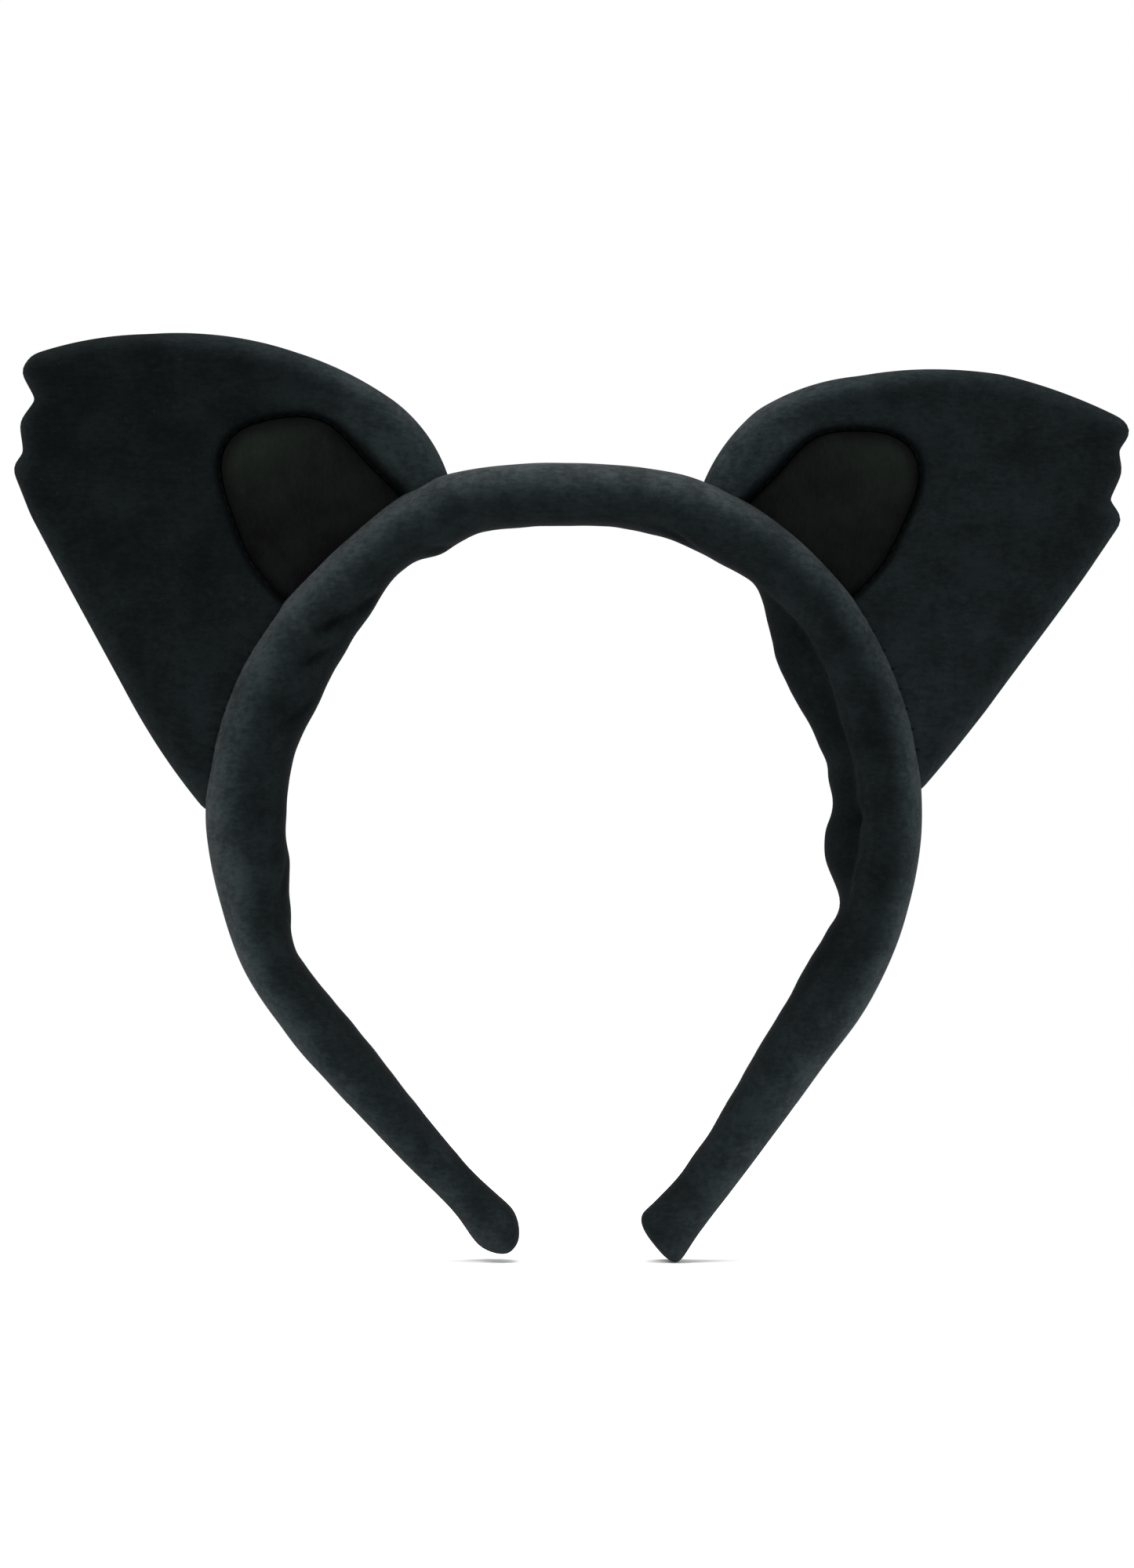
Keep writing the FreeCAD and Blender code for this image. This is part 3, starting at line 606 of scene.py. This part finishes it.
EAR_GROWTH = {"left": (0.4, 0.4), "right": (0.3, 0.9)}      # the pile's reach near the band, and more far out
EAR_SEED = {"left": 11, "right": 23}
EAR_BASE_LEVEL = {"left": 0.185, "right": 0.25}       # the base level of an ear face's stored painted light and wear, per side


def flat_outline(node, level):
    """The longest closed edge loop of a CAD node in the plane at a front to back level, in mm (x, z)."""
    mesh = frame["nodes"][node].data
    flat = [abs(v.co.y / MM - level) < FLAT_WITHIN for v in mesh.vertices]
    names = {}
    def key(index):
        place = mesh.vertices[index].co / MM
        return names.setdefault((round(place.x, 2), round(place.z, 2)), len(names))
    count = {}
    for face in mesh.polygons:
        if not all(flat[corner] for corner in face.vertices):
            continue
        keys = [key(corner) for corner in face.vertices]
        for one, two in pairs(keys):
            edge = (min(one, two), max(one, two))
            count[edge] = count.get(edge, 0) + 1
    places = {number: Vector(place) for place, number in names.items()}
    links = {}
    for (one, two), used in count.items():
        if used == 1:
            links.setdefault(one, []).append(two)
            links.setdefault(two, []).append(one)
    loops = []
    while links:
        start = next(iter(links))
        loop, here = [start], start
        while links.get(here):
            after = links[here].pop()
            links[after].remove(here)
            if not links[here]:
                links.pop(here, None)
            here = after
            if here == start:
                break
            loop.append(here)
        links = {k: v for k, v in links.items() if v}
        loops.append([places[number] for number in loop])
    def length(loop):
        return sum((a - b).length for a, b in pairs(loop))
    return max(loops, key=length)


def evenly(loop, step):
    """A closed outline as points an even step apart."""
    points = [loop[0]]
    spare = 0.0
    for start, end in pairs(loop):
        span = (end - start).length
        at = step - spare
        while at <= span:
            points.append(start + (end - start) * (at / span))
            at += step
        spare = span - (at - step)
    return points[:-1]


def softened(loop, rounds):
    for _ in range(rounds):
        loop = [(before + here * 2 + after) / 4 for before, here, after in neighbours(loop)]
    return loop


def under_band(loop, step, depth):
    """The outline without its stretch along the rim, closed by an arc under the band instead."""
    free = [(point - RIM_CENTRE).length > RIM + FINE_STEP for point in loop]
    start = next(number for number in range(len(loop)) if free[number] and not free[number - 1])
    loop, free = loop[start:] + loop[:start], free[start:] + free[:start]
    runs, run = [], []
    for point, kept in zip(loop + loop[:1], free + [False]):
        if kept:
            run.append(point)
        elif run:
            runs.append(run)
            run = []
    outer = max(runs, key=len)
    first, last = (math.atan2(*(point - RIM_CENTRE)) for point in (outer[0], outer[-1]))
    count = round(abs(first - last) * RIM / step)
    arc = []
    for number in range(count + 1):
        angle = last + (first - last) * number / count
        arc.append(RIM_CENTRE + Vector((math.sin(angle), math.cos(angle))) * (RIM - depth))
    return evenly(outer + arc, step)


class Outline:
    """A closed outline that can say how far a point is from it."""

    def __init__(self, points, closed=True):
        self.points = points
        dense = evenly(points, FINE_STEP) if closed else points
        self.tree = kdtree.KDTree(len(dense))
        for number, point in enumerate(dense):
            self.tree.insert((point.x, point.y, 0), number)
        self.tree.balance()

    def distance(self, point):
        return self.tree.find((point.x, point.y, 0))[2]

    def holds(self, point):
        inside = False
        for one, two in pairs(self.points):
            if (one.y > point.y) != (two.y > point.y):
                if point.x < one.x + (two.x - one.x) * (point.y - one.y) / (two.y - one.y):
                    inside = not inside
        return inside


def filled(outline, grid, rings=()):
    """Triangles inside an outline: its own points, an even grid and any extra rings of points."""
    points = list(outline.points)
    edges = [(number, (number + 1) % len(points)) for number in range(len(points))]
    lows = Vector((min(p.x for p in points), min(p.y for p in points)))
    highs = Vector((max(p.x for p in points), max(p.y for p in points)))
    extra = [p for ring in rings for p in ring if outline.holds(p) and outline.distance(p) > grid * 0.5]
    near = kdtree.KDTree(len(extra) or 1)
    for number, p in enumerate(extra):
        near.insert((p.x, p.y, 0), number)
    near.balance()
    row = 0
    y = lows.y
    while y < highs.y:
        x = lows.x + (grid / 2 if row % 2 else 0.0)
        while x < highs.x:
            p = Vector((x, y))
            clear = not extra or near.find((x, y, 0))[2] > grid * 0.6
            if clear and outline.holds(p) and outline.distance(p) > grid * 0.6:
                points.append(p)
            x += grid
        y += grid * 0.87
        row += 1
    points += extra
    made = geometry.delaunay_2d_cdt(points, edges, [], 1, 1e-5)
    return made[0], made[2]


class Ear:
    """One ear's outline, its patch and the height of its stuffing."""

    def __init__(self, side):
        self.side = side
        sign = SIDES[side]
        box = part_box(f"ear_front_panel_{side}")
        self.far = math.hypot(box[0 if sign < 0 else 1].x / MM, box[1].z / MM)
        rough = evenly(flat_outline(f"ear_front_panel_{side}", EAR_MIDDLE), OUTLINE_STEP)
        near, more = EAR_GROWTH[side]
        self.outline = Outline(grown(
            softened(under_band(rough, OUTLINE_STEP, UNDER_BAND), 2),
            lambda point: near + more * smooth(0.15, 0.6, self.away(point)),
        ))
        edge = [p for p in evenly(self.outline.points, FINE_STEP) if (p - RIM_CENTRE).length > RIM - 5.0]
        self.free = Outline(edge, closed=False)
        patch_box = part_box(f"ear_patch_{side}")
        corner_x = patch_box[1 if sign < 0 else 0].x / MM        # its end nearest the crown
        self.corner = Vector((corner_x, math.sqrt(RIM ** 2 - corner_x ** 2)))
        # the fold at the crown covers the patch's own corner, so what shows starts further along the rim
        along_rim = Vector((self.corner.y, -self.corner.x)).normalized() * sign
        tucked = self.corner + along_rim * CORNER_TUCK
        patch = evenly(flat_outline(f"ear_patch_{side}", patch_box[0].y / MM), PATCH_STEP)
        patch = self.rounded_in(under_band(patch, PATCH_STEP, UNDER_BAND))
        patch = [
            point + along_rim * CORNER_TUCK * smooth(27, 4, (point - self.corner).length) for point in patch
        ]
        self.patch = Outline(grown(softened(patch, 60), 0.9))
        self.corner = tucked
        self.seed = EAR_SEED[side]

    def rounded_in(self, loop):
        """The patch's outline with its outer line curving in where it goes under the band."""
        rounded = []
        for point in loop:
            back = self.corner - point
            near = smooth(10, 0, point.length - RIM) * smooth(20, 30, back.length)
            rounded.append(point + back.normalized() * 4.0 * near)
        return rounded

    def away(self, point):
        """0 at the band, 1 at the furthest tip."""
        return min(max((point.length - RIM) / (self.far - RIM), 0.0), 1.0)

    def fullness(self, point, thin):
        """The stuffing's height over the middle plane, before any dip."""
        edge = self.free.distance(point)
        away = self.away(point)
        roll = EDGE_ROLL * (1 - 0.45 * away)
        share = min(edge / roll, 1.0)
        height = thin * EAR_HALF * (1.0 - 0.36 * away)
        return height * (1 - (1 - share) ** 2.1) ** 0.56

    def lumps(self, point, seed):
        place = (point.x, point.y, 0)
        return wander(place, 19.0, seed) * 0.55 + wander(place, 7.5, seed + 2) * 0.22

    def dip(self, point):
        """How deep the front lies below its fullness round and under the patch."""
        gap = self.patch.distance(point)
        corner = smooth(26, 3, (point - self.corner).length)
        wide = GROOVE * (1 + 0.3 * corner)
        depth = (GROOVE_DEPTH + corner) * bump(gap, 0.0, wide)
        if self.patch.holds(point):
            depth = max(depth, GROOVE_DEPTH)
        return depth + 0.8 * bump(gap, 0.0, 6.0)

    def painted_light_and_wear(self, point, grooved):
        """The stored painted light with the pile's wear: a painted highlight along the free edges, strongest on
        the upper edge near the crown, and in the fold near the band; painted shade down in the groove round the
        patch; a little paler low down and darker towards the tips.
        """
        away = (point - self.corner).length
        # painted highlight along the edges, stronger on the upper edge near the crown
        upper = smooth(70, 88, point.y) * smooth(75, 15, away)
        edge = smooth(5.5, 0.0, self.outline.distance(point)) * (0.10 + 0.28 * upper)
        # painted shade down in the groove round the patch, wider near the corner
        shadow = 1.8 + 1.6 * smooth(30, 5, away)
        groove = smooth(0.2, shadow, self.patch.distance(point)) if grooved else 1.0
        # painted highlight on the fold near the corner
        fold = smooth(40, 10, away) * 0.20
        low = smooth(60, 15, point.y) * 0.05
        own = EAR_BASE_LEVEL[self.side] - 0.05 * smooth(0.55, 1.0, self.away(point))
        patchy = wander((point.x, point.y * 2, 0), 14.0, self.seed + 9) * 0.05
        return min(max((own + edge + fold + low + patchy) * groove, 0.0), 1.0)

    def patch_painted_light(self, point):
        """Painted light on the patch: palest at its outer upper corner, with painted shade towards the crown
        corner, low down and along its edge.
        """
        away = (point - self.corner).length
        edge = smooth(0.5, 4.0, self.patch.distance(point))
        return smooth(10, 42, away) * smooth(59, 81, point.y) * edge

    def front(self, point):
        lumps = self.lumps(point, self.seed) * self.soft(point)
        return EAR_MIDDLE - max(self.fullness(point, 1.0) + lumps - self.dip(point), 0.0)

    def back(self, point):
        lumps = self.lumps(point, self.seed + 7) * self.soft(point)
        return EAR_MIDDLE + max(self.fullness(point, 0.92) + lumps, 0.0)

    def soft(self, point):
        """Lumps fade towards the sewn edge."""
        return smooth(0.0, 6.0, self.outline.distance(point))

    def patch_front(self, point):
        """The patch's own face: low towards the band, slightly crowned, its edge turned under."""
        edge = self.patch.distance(point)
        crown = 1.3 * smooth(0.0, 10.0, edge)
        turned = 1.5 * (1 - min(edge / 2.4, 1.0)) ** 2
        sink = 0.8 * smooth(30, 2, point.length - RIM)
        lumps = wander((point.x, point.y, 0), 11.0, self.seed + 4) * 0.3
        return EAR_MIDDLE - (self.fullness(point, 1.0) - 1.5 + crown - turned - sink + lumps)


def facing(points, triangle, front):
    """A flat triangle's corners in the order that turns it to the front or the back."""
    one, two, three = (points[corner] for corner in triangle)
    clockwise = (two - one).cross(three - one) < 0
    return tuple(reversed(triangle)) if clockwise == front else tuple(triangle)


def make_panel(ear, name, height, front):
    """One velour panel of an ear, the front or the back one, closed at the middle plane."""
    rings = []
    if front:
        for shift in GROOVE_RINGS:
            rings.append(evenly(grown(ear.patch.points, shift), OUTLINE_STEP))
    points, triangles = filled(ear.outline, EAR_GRID, rings)
    sewn = [ear.outline.distance(point) < EAR_GRID / 4 for point in points]
    vertices = []
    for point, on_edge in zip(points, sewn):
        vertices.append((point.x, EAR_MIDDLE if on_edge else height(point), point.y))
    flat = {}
    for number, point in enumerate(points):
        if not sewn[number]:
            flat[number] = len(vertices)
            vertices.append((point.x, EAR_MIDDLE + (PANEL_GAP if front else -PANEL_GAP), point.y))
    faces = []
    for triangle in triangles:
        out = facing(points, triangle, front)
        faces.append(out)
        faces.append(tuple(flat.get(corner, corner) for corner in reversed(out)))
    piece = mesh_object(name, vertices, faces, material("velour"))
    for edge in piece.data.edges:
        edge.use_edge_sharp = all(corner < len(sewn) and sewn[corner] for corner in edge.vertices)
    set_painted_light_and_wear(piece, [ear.painted_light_and_wear(Vector((x, z)), front) for x, _, z in vertices])
    return piece


def grown(loop, distance):
    """An outline moved outwards by a distance, which is a number or is worked out from each point."""
    area = sum(a.x * b.y - b.x * a.y for a, b in pairs(loop))
    side = 1 if area > 0 else -1
    moved = []
    for before, here, after in neighbours(loop):
        way = (after - before).normalized()
        reach = distance(here) if callable(distance) else distance
        moved.append(here + Vector((way.y, -way.x)) * side * reach)
    return moved


def make_patch(ear):
    """The smooth patch let into the front: a thin closed sheet with its edge turned under."""
    inner = Outline(grown(ear.patch.points, -0.25))
    points, triangles = filled(inner, PATCH_GRID)
    vertices = [(p.x, ear.patch_front(p), p.y) for p in points]
    vertices += [(x, y + PATCH_THICKNESS, z) for x, y, z in vertices]
    count = len(points)
    faces = []
    edges = {}
    for triangle in triangles:
        out = facing(points, triangle, True)
        faces.append(out)
        faces.append(tuple(corner + count for corner in reversed(out)))
        for pair in pairs(out):
            edges[pair] = True
    for one, two in edges:
        if (two, one) not in edges:
            faces.append((two, one, one + count, two + count))
    piece = mesh_object(f"ear_patch_{ear.side}_cloth", vertices, faces, material("smooth_felt"))
    set_painted_light_and_wear(piece, [ear.patch_painted_light(Vector((x, z))) for x, _, z in vertices])
    return piece


# ---- stitches

SEAM_ENDS = {"crown": (14, 14), "side": (30, 185)}      # how far along from the top the seam is stitched
BASE_TURNS = (29.0, 79.0)       # degrees from the top between which an ear's base is stitched
BASE_SPACING = 3.4
TIP_STITCHES = {        # how far before the leg's end they lie, and the degrees round of each
    "left": (4.5, (240, 265, 290)),
    "right": (-0.5, (230, 250, 270, 290, 310)),
}
STITCH = {"seam": 3.6, "base": 2.0, "patch": 1.9, "tip": 3.0}       # the length of one
UNEVENNESS = 0.22


def stitch_tree():
    """Geometry nodes that lay one thread on every point, along the way that the point names."""
    tree = bpy.data.node_groups.new("Stitch Row", "GeometryNodeTree")
    inputs = (
        ("Geometry", "Geometry", None), ("Thread Radius", "Float", 0.4 * MM),
        ("Stitch Length", "Float", 4 * MM),
        ("Unevenness", "Float", 0.2), ("Seed", "Int", 4), ("Material", "Material", None),
    )
    for name, kind, default in inputs:
        socket = tree.interface.new_socket(name, in_out="INPUT", socket_type=f"NodeSocket{kind}")
        if default is not None:
            socket.default_value = default
    tree.interface.new_socket("Geometry", in_out="OUTPUT", socket_type="NodeSocketGeometry")
    add = partial(add_node, tree)
    given = add("NodeGroupInput").outputs
    ball = add("GeometryNodeMeshUVSphere", None, {"Segments": 10, "Rings": 8, "Radius": 1.0})
    half = add("ShaderNodeMath", {"operation": "MULTIPLY"}, {0: given["Stitch Length"], 1: 0.5})
    size = add("ShaderNodeCombineXYZ", None,
               {"X": given["Thread Radius"], "Y": given["Thread Radius"], "Z": half.outputs[0]})
    thread = add("GeometryNodeTransform", None, {"Geometry": ball.outputs["Mesh"], "Scale": size.outputs[0]})
    along = add("GeometryNodeInputNamedAttribute", {"data_type": "FLOAT_VECTOR"}, {"Name": "along"})
    turn = add("FunctionNodeAlignRotationToVector", {"axis": "Z"}, {"Vector": along.outputs["Attribute"]})
    low = add("ShaderNodeMath", {"operation": "SUBTRACT"}, {0: 1.0, 1: given["Unevenness"]})
    high = add("ShaderNodeMath", {"operation": "ADD"}, {0: 1.0, 1: given["Unevenness"]})
    uneven = add("FunctionNodeRandomValue", {"data_type": "FLOAT"},
                 {2: low.outputs[0], 3: high.outputs[0], "Seed": given["Seed"]})
    scale = add("ShaderNodeCombineXYZ", None, {"X": 1.0, "Y": 1.0, "Z": uneven.outputs[1]})
    laid = add("GeometryNodeInstanceOnPoints", None, {
        "Points": given["Geometry"], "Instance": thread.outputs["Geometry"],
        "Rotation": turn.outputs["Rotation"], "Scale": scale.outputs[0],
    })
    real = add("GeometryNodeRealizeInstances", None, {"Geometry": laid.outputs["Instances"]})
    shade = add("GeometryNodeSetShadeSmooth", None, {"Geometry": real.outputs["Geometry"]})
    dressed = add("GeometryNodeSetMaterial", None,
                  {"Geometry": shade.outputs["Geometry"], "Material": given["Material"]})
    add("NodeGroupOutput", None, {"Geometry": dressed.outputs["Geometry"]})
    return tree


def lay_stitches(name, stitches, radius, length, seed):
    """A row of threads as a plain mesh, from pairs of a place in mm and the way the thread runs."""
    mesh = bpy.data.meshes.new(name)
    mesh.from_pydata([Vector(place) * MM for place, _ in stitches], [], [])
    ways = mesh.attributes.new("along", "FLOAT_VECTOR", "POINT")
    for number, (_, way) in enumerate(stitches):
        ways.data[number].vector = Vector(way).normalized()
    row = bpy.data.objects.new(name, mesh)
    bpy.context.scene.collection.objects.link(row)
    modifier = row.modifiers.new("Stitches", "NODES")
    modifier.node_group = bpy.data.node_groups.get("Stitch Row") or stitch_tree()
    given = {
        "Thread Radius": radius * MM, "Stitch Length": length * MM, "Unevenness": UNEVENNESS,
        "Seed": seed, "Material": material("thread"),
    }
    for item in modifier.node_group.interface.items_tree:
        if item.in_out == "INPUT" and item.name in given:
            modifier[item.identifier] = given[item.name]
    graph = bpy.context.evaluated_depsgraph_get()
    made = bpy.data.meshes.new_from_object(row.evaluated_get(graph))
    row.modifiers.remove(modifier)
    row.data = made
    return row


def sleeve_surface(along, degrees):
    """A point of the sleeve and its outward normal."""
    turn = math.radians(degrees)
    here = sleeve_point(along, turn, hoop_lines(along))
    round_way = sleeve_point(along, turn + 0.02, hoop_lines(along)) - here
    along_way = sleeve_point(along + 0.5, turn, hoop_lines(along + 0.5)) - here
    normal = along_way.cross(round_way).normalized()
    inner, outer, _ = hoop_lines(along)
    middle = (inner + outer) / 2
    if normal.dot(here - middle) < 0:
        normal = -normal
    return here, normal, along_way.normalized(), round_way.normalized()


def seam_row(first, last, spacing):
    """Slanted stitches along the back inner seam of the sleeve."""
    count = round(abs(last - first) / spacing)
    row = []
    for number in range(count):
        along = first + (last - first) * (number + 0.5) / count
        here, normal, along_way, round_way = sleeve_surface(along, SEAM_TURN)
        row.append((here + normal * 0.12, round_way + along_way * 0.45))
    return row


def base_row(ear):
    """Ladder stitches where an ear's front meets the band."""
    sign = SIDES[ear.side]
    row = []
    first, last = BASE_TURNS
    count = round((last - first) / BASE_SPACING)
    for number in range(count + 1):
        angle = math.radians(first + (last - first) * number / count)
        out = Vector((sign * math.sin(angle), 0, math.cos(angle)))
        outer = hoop_lines(sign * SEAT * angle)[1]
        spot = Vector((outer.x, outer.z)) * (1 - 0.5 / RIM)
        place = Vector((spot.x, ear.front(spot) + 0.05, spot.y))
        slant = Vector((out.z, 0, -out.x)) * 0.35
        row.append((place, out + slant + Vector((0, 0.25, 0))))
    return row


def patch_row(ear, spacing):
    """Small stitches down in the groove round the patch's three free sides."""
    points = evenly(grown(ear.patch.points, 0.35), spacing)
    row = []
    for before, here, after in neighbours(points):
        if here.length < RIM + 2.5:
            continue
        way = (after - before).normalized()
        row.append((Vector((here.x, ear.front(here) - 0.12, here.y)), Vector((way.x, 0.0, way.y))))
    return row


def tip_row(side):
    """Hand stitches near a leg's closed end."""
    end = seat_length(side)[3] * SIDES[side]
    row = []
    inset, turns = TIP_STITCHES[side]
    for degrees in turns:
        here, normal, along_way, round_way = sleeve_surface(end - SIDES[side] * inset, degrees)
        row.append((here + normal * 0.05, along_way + round_way * 0.3))
    return row


# ---- settings

def tone(name, description, default):
    return FloatVectorProperty(
        name=name, description=description, default=default, subtype="COLOR", min=0.0, max=1.0)


def measure(name, description, default, least=0.0, unit="LENGTH"):
    return FloatProperty(name=name, description=description, default=default, min=least, unit=unit)


class HeadbandColours(bpy.types.PropertyGroup):
    """Colours and sheen of the cloth."""

    # the three velour tones are the ends of the painted shade and painted highlight that the stored attribute
    # blends between, with the pile's own wear and mottling
    velour_dark: tone("Velour Dark", "The pile where it lies flat", (0.0005, 0.0009, 0.0010))
    velour_light: tone("Velour Light", "The pile where it stands up", (0.0275, 0.038, 0.0412))
    velour_rim_lit: tone("Velour Brushed", "The pile along the outer rim", (0.0355, 0.0415, 0.0432))
    lint: tone("Lint", "Fine fluff caught in the pile", (0.010, 0.013, 0.013))
    sheen_tint: tone("Sheen Tint", "What the pile's tips reflect", (0.80, 0.92, 1.0))
    # the two felt tones are the ends of the patch's painted shade and painted highlight, with cloudy mottling
    felt_dark: tone("Felt Dark", "The smooth patch, unrubbed", (0.0013, 0.0012, 0.0013))
    felt_light: tone("Felt Light", "The smooth patch, rubbed", (0.0060, 0.0090, 0.0070))
    thread_dark: tone("Thread Dark", "Sewing thread in its twist", (0.0006, 0.0008, 0.001))
    thread_light: tone("Thread Light", "Sewing thread on its twist", (0.0025, 0.003, 0.0035))
    plastic: tone("Core Strip", "The sprung strip inside", (0.012, 0.012, 0.013))
    plastic_scuffed: tone("Scuffed Strip", "The strip where it is rubbed", (0.05, 0.05, 0.052))
    paper: tone("Floor", "The studio's floor", (0.93, 0.93, 0.93))
    sheen: FloatProperty(name="Sheen", description="How much the pile glows at its edges", default=0.012,
                         min=0.0, max=1.0, subtype="FACTOR")


class HeadbandSizes(bpy.types.PropertyGroup):
    """Sizes of the stitching and the studio."""

    thread: measure("Thread", "Radius of the doubled thread", 0.28 * MM)
    seam_spacing: measure("Seam Spacing", "Between stitches of the sleeve's seam", 5.0 * MM, MM)
    patch_spacing: measure("Patch Spacing", "Between stitches round a patch", 2.6 * MM, MM)
    view_height: measure("View Height", "How high a stretch the camera sees at the object", 0.340, 0.01)
    lens: measure("Lens", "Focal length of the camera", 150.0, 10.0, "CAMERA")


def settings():
    return bpy.context.scene.headband_colours, bpy.context.scene.headband_sizes


# ---- operators

class HEADBAND_OT_materials(bpy.types.Operator):
    """Make every cloth, thread and plastic, and dress the core strip in its own"""

    bl_idname = "headband.materials"
    bl_label = "Make Materials"

    def execute(self, context):
        colours, _ = settings()
        for old in list(bpy.data.materials):
            old.name = f"cad_{old.name}"
        velour_material(colours)
        felt_material(colours)
        thread_material(colours)
        paper_material(colours)
        strip = plastic_material(colours)
        for node in ("core_crown", "core_left", "core_right"):
            frame["nodes"][node].material_slots[0].material = strip
        return {"FINISHED"}


class HEADBAND_OT_sleeve(bpy.types.Operator):
    """Make the loose velour sleeve over the padded hoop"""

    bl_idname = "headband.sleeve"
    bl_label = "Make Sleeve"

    def execute(self, context):
        # the bend runs out and a little down, so that the leg ends lie past it and the top ring before it
        for side, piece in make_sleeve().items():
            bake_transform(piece)
            own = [f"{layer}_{side}" for layer in ("sleeve", "padding", "tip_cap")]
            if side == "left":
                own += ["sleeve_crown", "padding_crown"]
            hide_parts(*own)
        return {"FINISHED"}


class HEADBAND_OT_ears(bpy.types.Operator):
    """Make both stuffed ears with their smooth patches"""

    bl_idname = "headband.ears"
    bl_label = "Make Ears"

    def execute(self, context):
        for side in SIDES:
            ear = Ear(side)
            front = make_panel(ear, f"ear_{side}_front", ear.front, True)
            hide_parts(f"ear_front_panel_{side}", f"ear_foam_{side}")
            back = make_panel(ear, f"ear_{side}_back", ear.back, False)
            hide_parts(f"ear_back_panel_{side}")
            patch = make_patch(ear)
            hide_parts(f"ear_patch_{side}")
            for piece in (front, back, patch):
                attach(piece, f"{side}_side")
        return {"FINISHED"}


class HEADBAND_OT_stitches(bpy.types.Operator):
    """Sew the seams: the sleeve's back, the ears' bases, the patches and the leg ends"""

    bl_idname = "headband.stitches"
    bl_label = "Make Stitches"

    def execute(self, context):
        _, sizes = settings()
        thread = sizes.thread / MM
        seam = sizes.seam_spacing / MM
        left, right = SEAM_ENDS["crown"]
        first, last = SEAM_ENDS["side"]
        rows = {"crown": [("seam_stitches_crown", seam_row(-left, right, seam), STITCH["seam"])]}
        for side, sign in SIDES.items():
            ear = Ear(side)
            patch = patch_row(ear, sizes.patch_spacing / MM)
            rows[f"{side}_side"] = [
                (f"seam_stitches_{side}", seam_row(sign * first, sign * last, seam), STITCH["seam"]),
                (f"ear_base_stitches_{side}", base_row(ear), STITCH["base"]),
                (f"ear_patch_stitches_{side}", patch, STITCH["patch"]),
                (f"tip_stitches_{side}", tip_row(side), STITCH["tip"]),
            ]
        seed = 1
        for body, lines in rows.items():
            for node, row, length in lines:
                piece = lay_stitches(f"{node}_thread", row, thread, length, seed)
                seed += 1
                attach(piece, body)
                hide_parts(node)
        return {"FINISHED"}


FLOOR_REACH = 700.0     # mm
FLOOR_CORNERS = 64
VIEW_MIDDLE = (0.00085, 0.0051)         # across and up, in m
LIGHTS = (              # name, place and size in m, power in W
    ("key_light", (-0.6, -0.9, 1.4), 0.8, 20.0),
    ("top_light", (0.1, 0.15, 1.6), 0.9, 22.0),
    ("fill_light", (1.3, -0.8, 0.4), 1.0, 6.0),
)


def placed(name, data, place, turn):
    """A lamp or a camera in the scene."""
    holder = bpy.data.objects.new(name, data)
    holder.location = place
    holder.rotation_euler = turn
    bpy.context.scene.collection.objects.link(holder)
    return holder


class HEADBAND_OT_stage(bpy.types.Operator):
    """Set the floor, the soft studio light and the camera"""

    bl_idname = "headband.stage"
    bl_label = "Make Stage"

    def execute(self, context):
        _, sizes = settings()
        scene = context.scene
        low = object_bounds()[0].z
        turns = [2 * math.pi * number / FLOOR_CORNERS for number in range(FLOOR_CORNERS)]
        edge = [(FLOOR_REACH * math.cos(turn), FLOOR_REACH * math.sin(turn), low / MM) for turn in turns]
        floor = mesh_object("studio_floor", edge, [tuple(range(FLOOR_CORNERS))], material("studio_paper"))
        floor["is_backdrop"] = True
        world = bpy.data.worlds.new("pale_studio")
        world.use_nodes = True
        sky = world.node_tree.nodes["Background"].inputs
        sky["Color"].default_value = (1, 1, 1, 1)
        sky["Strength"].default_value = 1.0
        scene.world = world
        for name, place, size, power in LIGHTS:
            lamp = bpy.data.lights.new(name, "AREA")
            lamp.size = size
            lamp.energy = power
            placed(name, lamp, place, (-Vector(place)).to_track_quat("-Z", "Y").to_euler())
        camera = bpy.data.cameras.new("camera")
        camera.lens = sizes.lens
        camera.sensor_width = 36.0
        away = sizes.view_height * sizes.lens / camera.sensor_width
        place = (VIEW_MIDDLE[0], -away, VIEW_MIDDLE[1])
        scene.camera = placed("camera", camera, place, (math.pi / 2, 0, 0))
        scene.view_settings.view_transform = "Standard"
        return {"FINISHED"}


class HEADBAND_PT_panel(bpy.types.Panel):
    """The headband's settings and steps"""

    bl_idname = "HEADBAND_PT_panel"
    bl_label = "Animal Ears Headband"
    bl_space_type = "VIEW_3D"
    bl_region_type = "UI"
    bl_category = "Headband"

    def draw(self, context):
        for group in settings():
            box = self.layout.box()
            for name in group.__annotations__:
                box.prop(group, name)
        for step in STEPS:
            self.layout.operator(step.bl_idname)


STEPS = (
    HEADBAND_OT_materials,
    HEADBAND_OT_sleeve,
    HEADBAND_OT_ears,
    HEADBAND_OT_stitches,
    HEADBAND_OT_stage,
)
CLASSES = (HeadbandColours, HeadbandSizes, *STEPS, HEADBAND_PT_panel)


def register():
    for item in CLASSES:
        bpy.utils.register_class(item)
    bpy.types.Scene.headband_colours = PointerProperty(type=HeadbandColours)
    bpy.types.Scene.headband_sizes = PointerProperty(type=HeadbandSizes)


def unregister():
    del bpy.types.Scene.headband_sizes
    del bpy.types.Scene.headband_colours
    for item in reversed(CLASSES):
        bpy.utils.unregister_class(item)


def main():
    register()
    for step in STEPS:
        group, name = step.bl_idname.split(".")
        getattr(getattr(bpy.ops, group), name)()


if __name__ == "__main__":
    main()
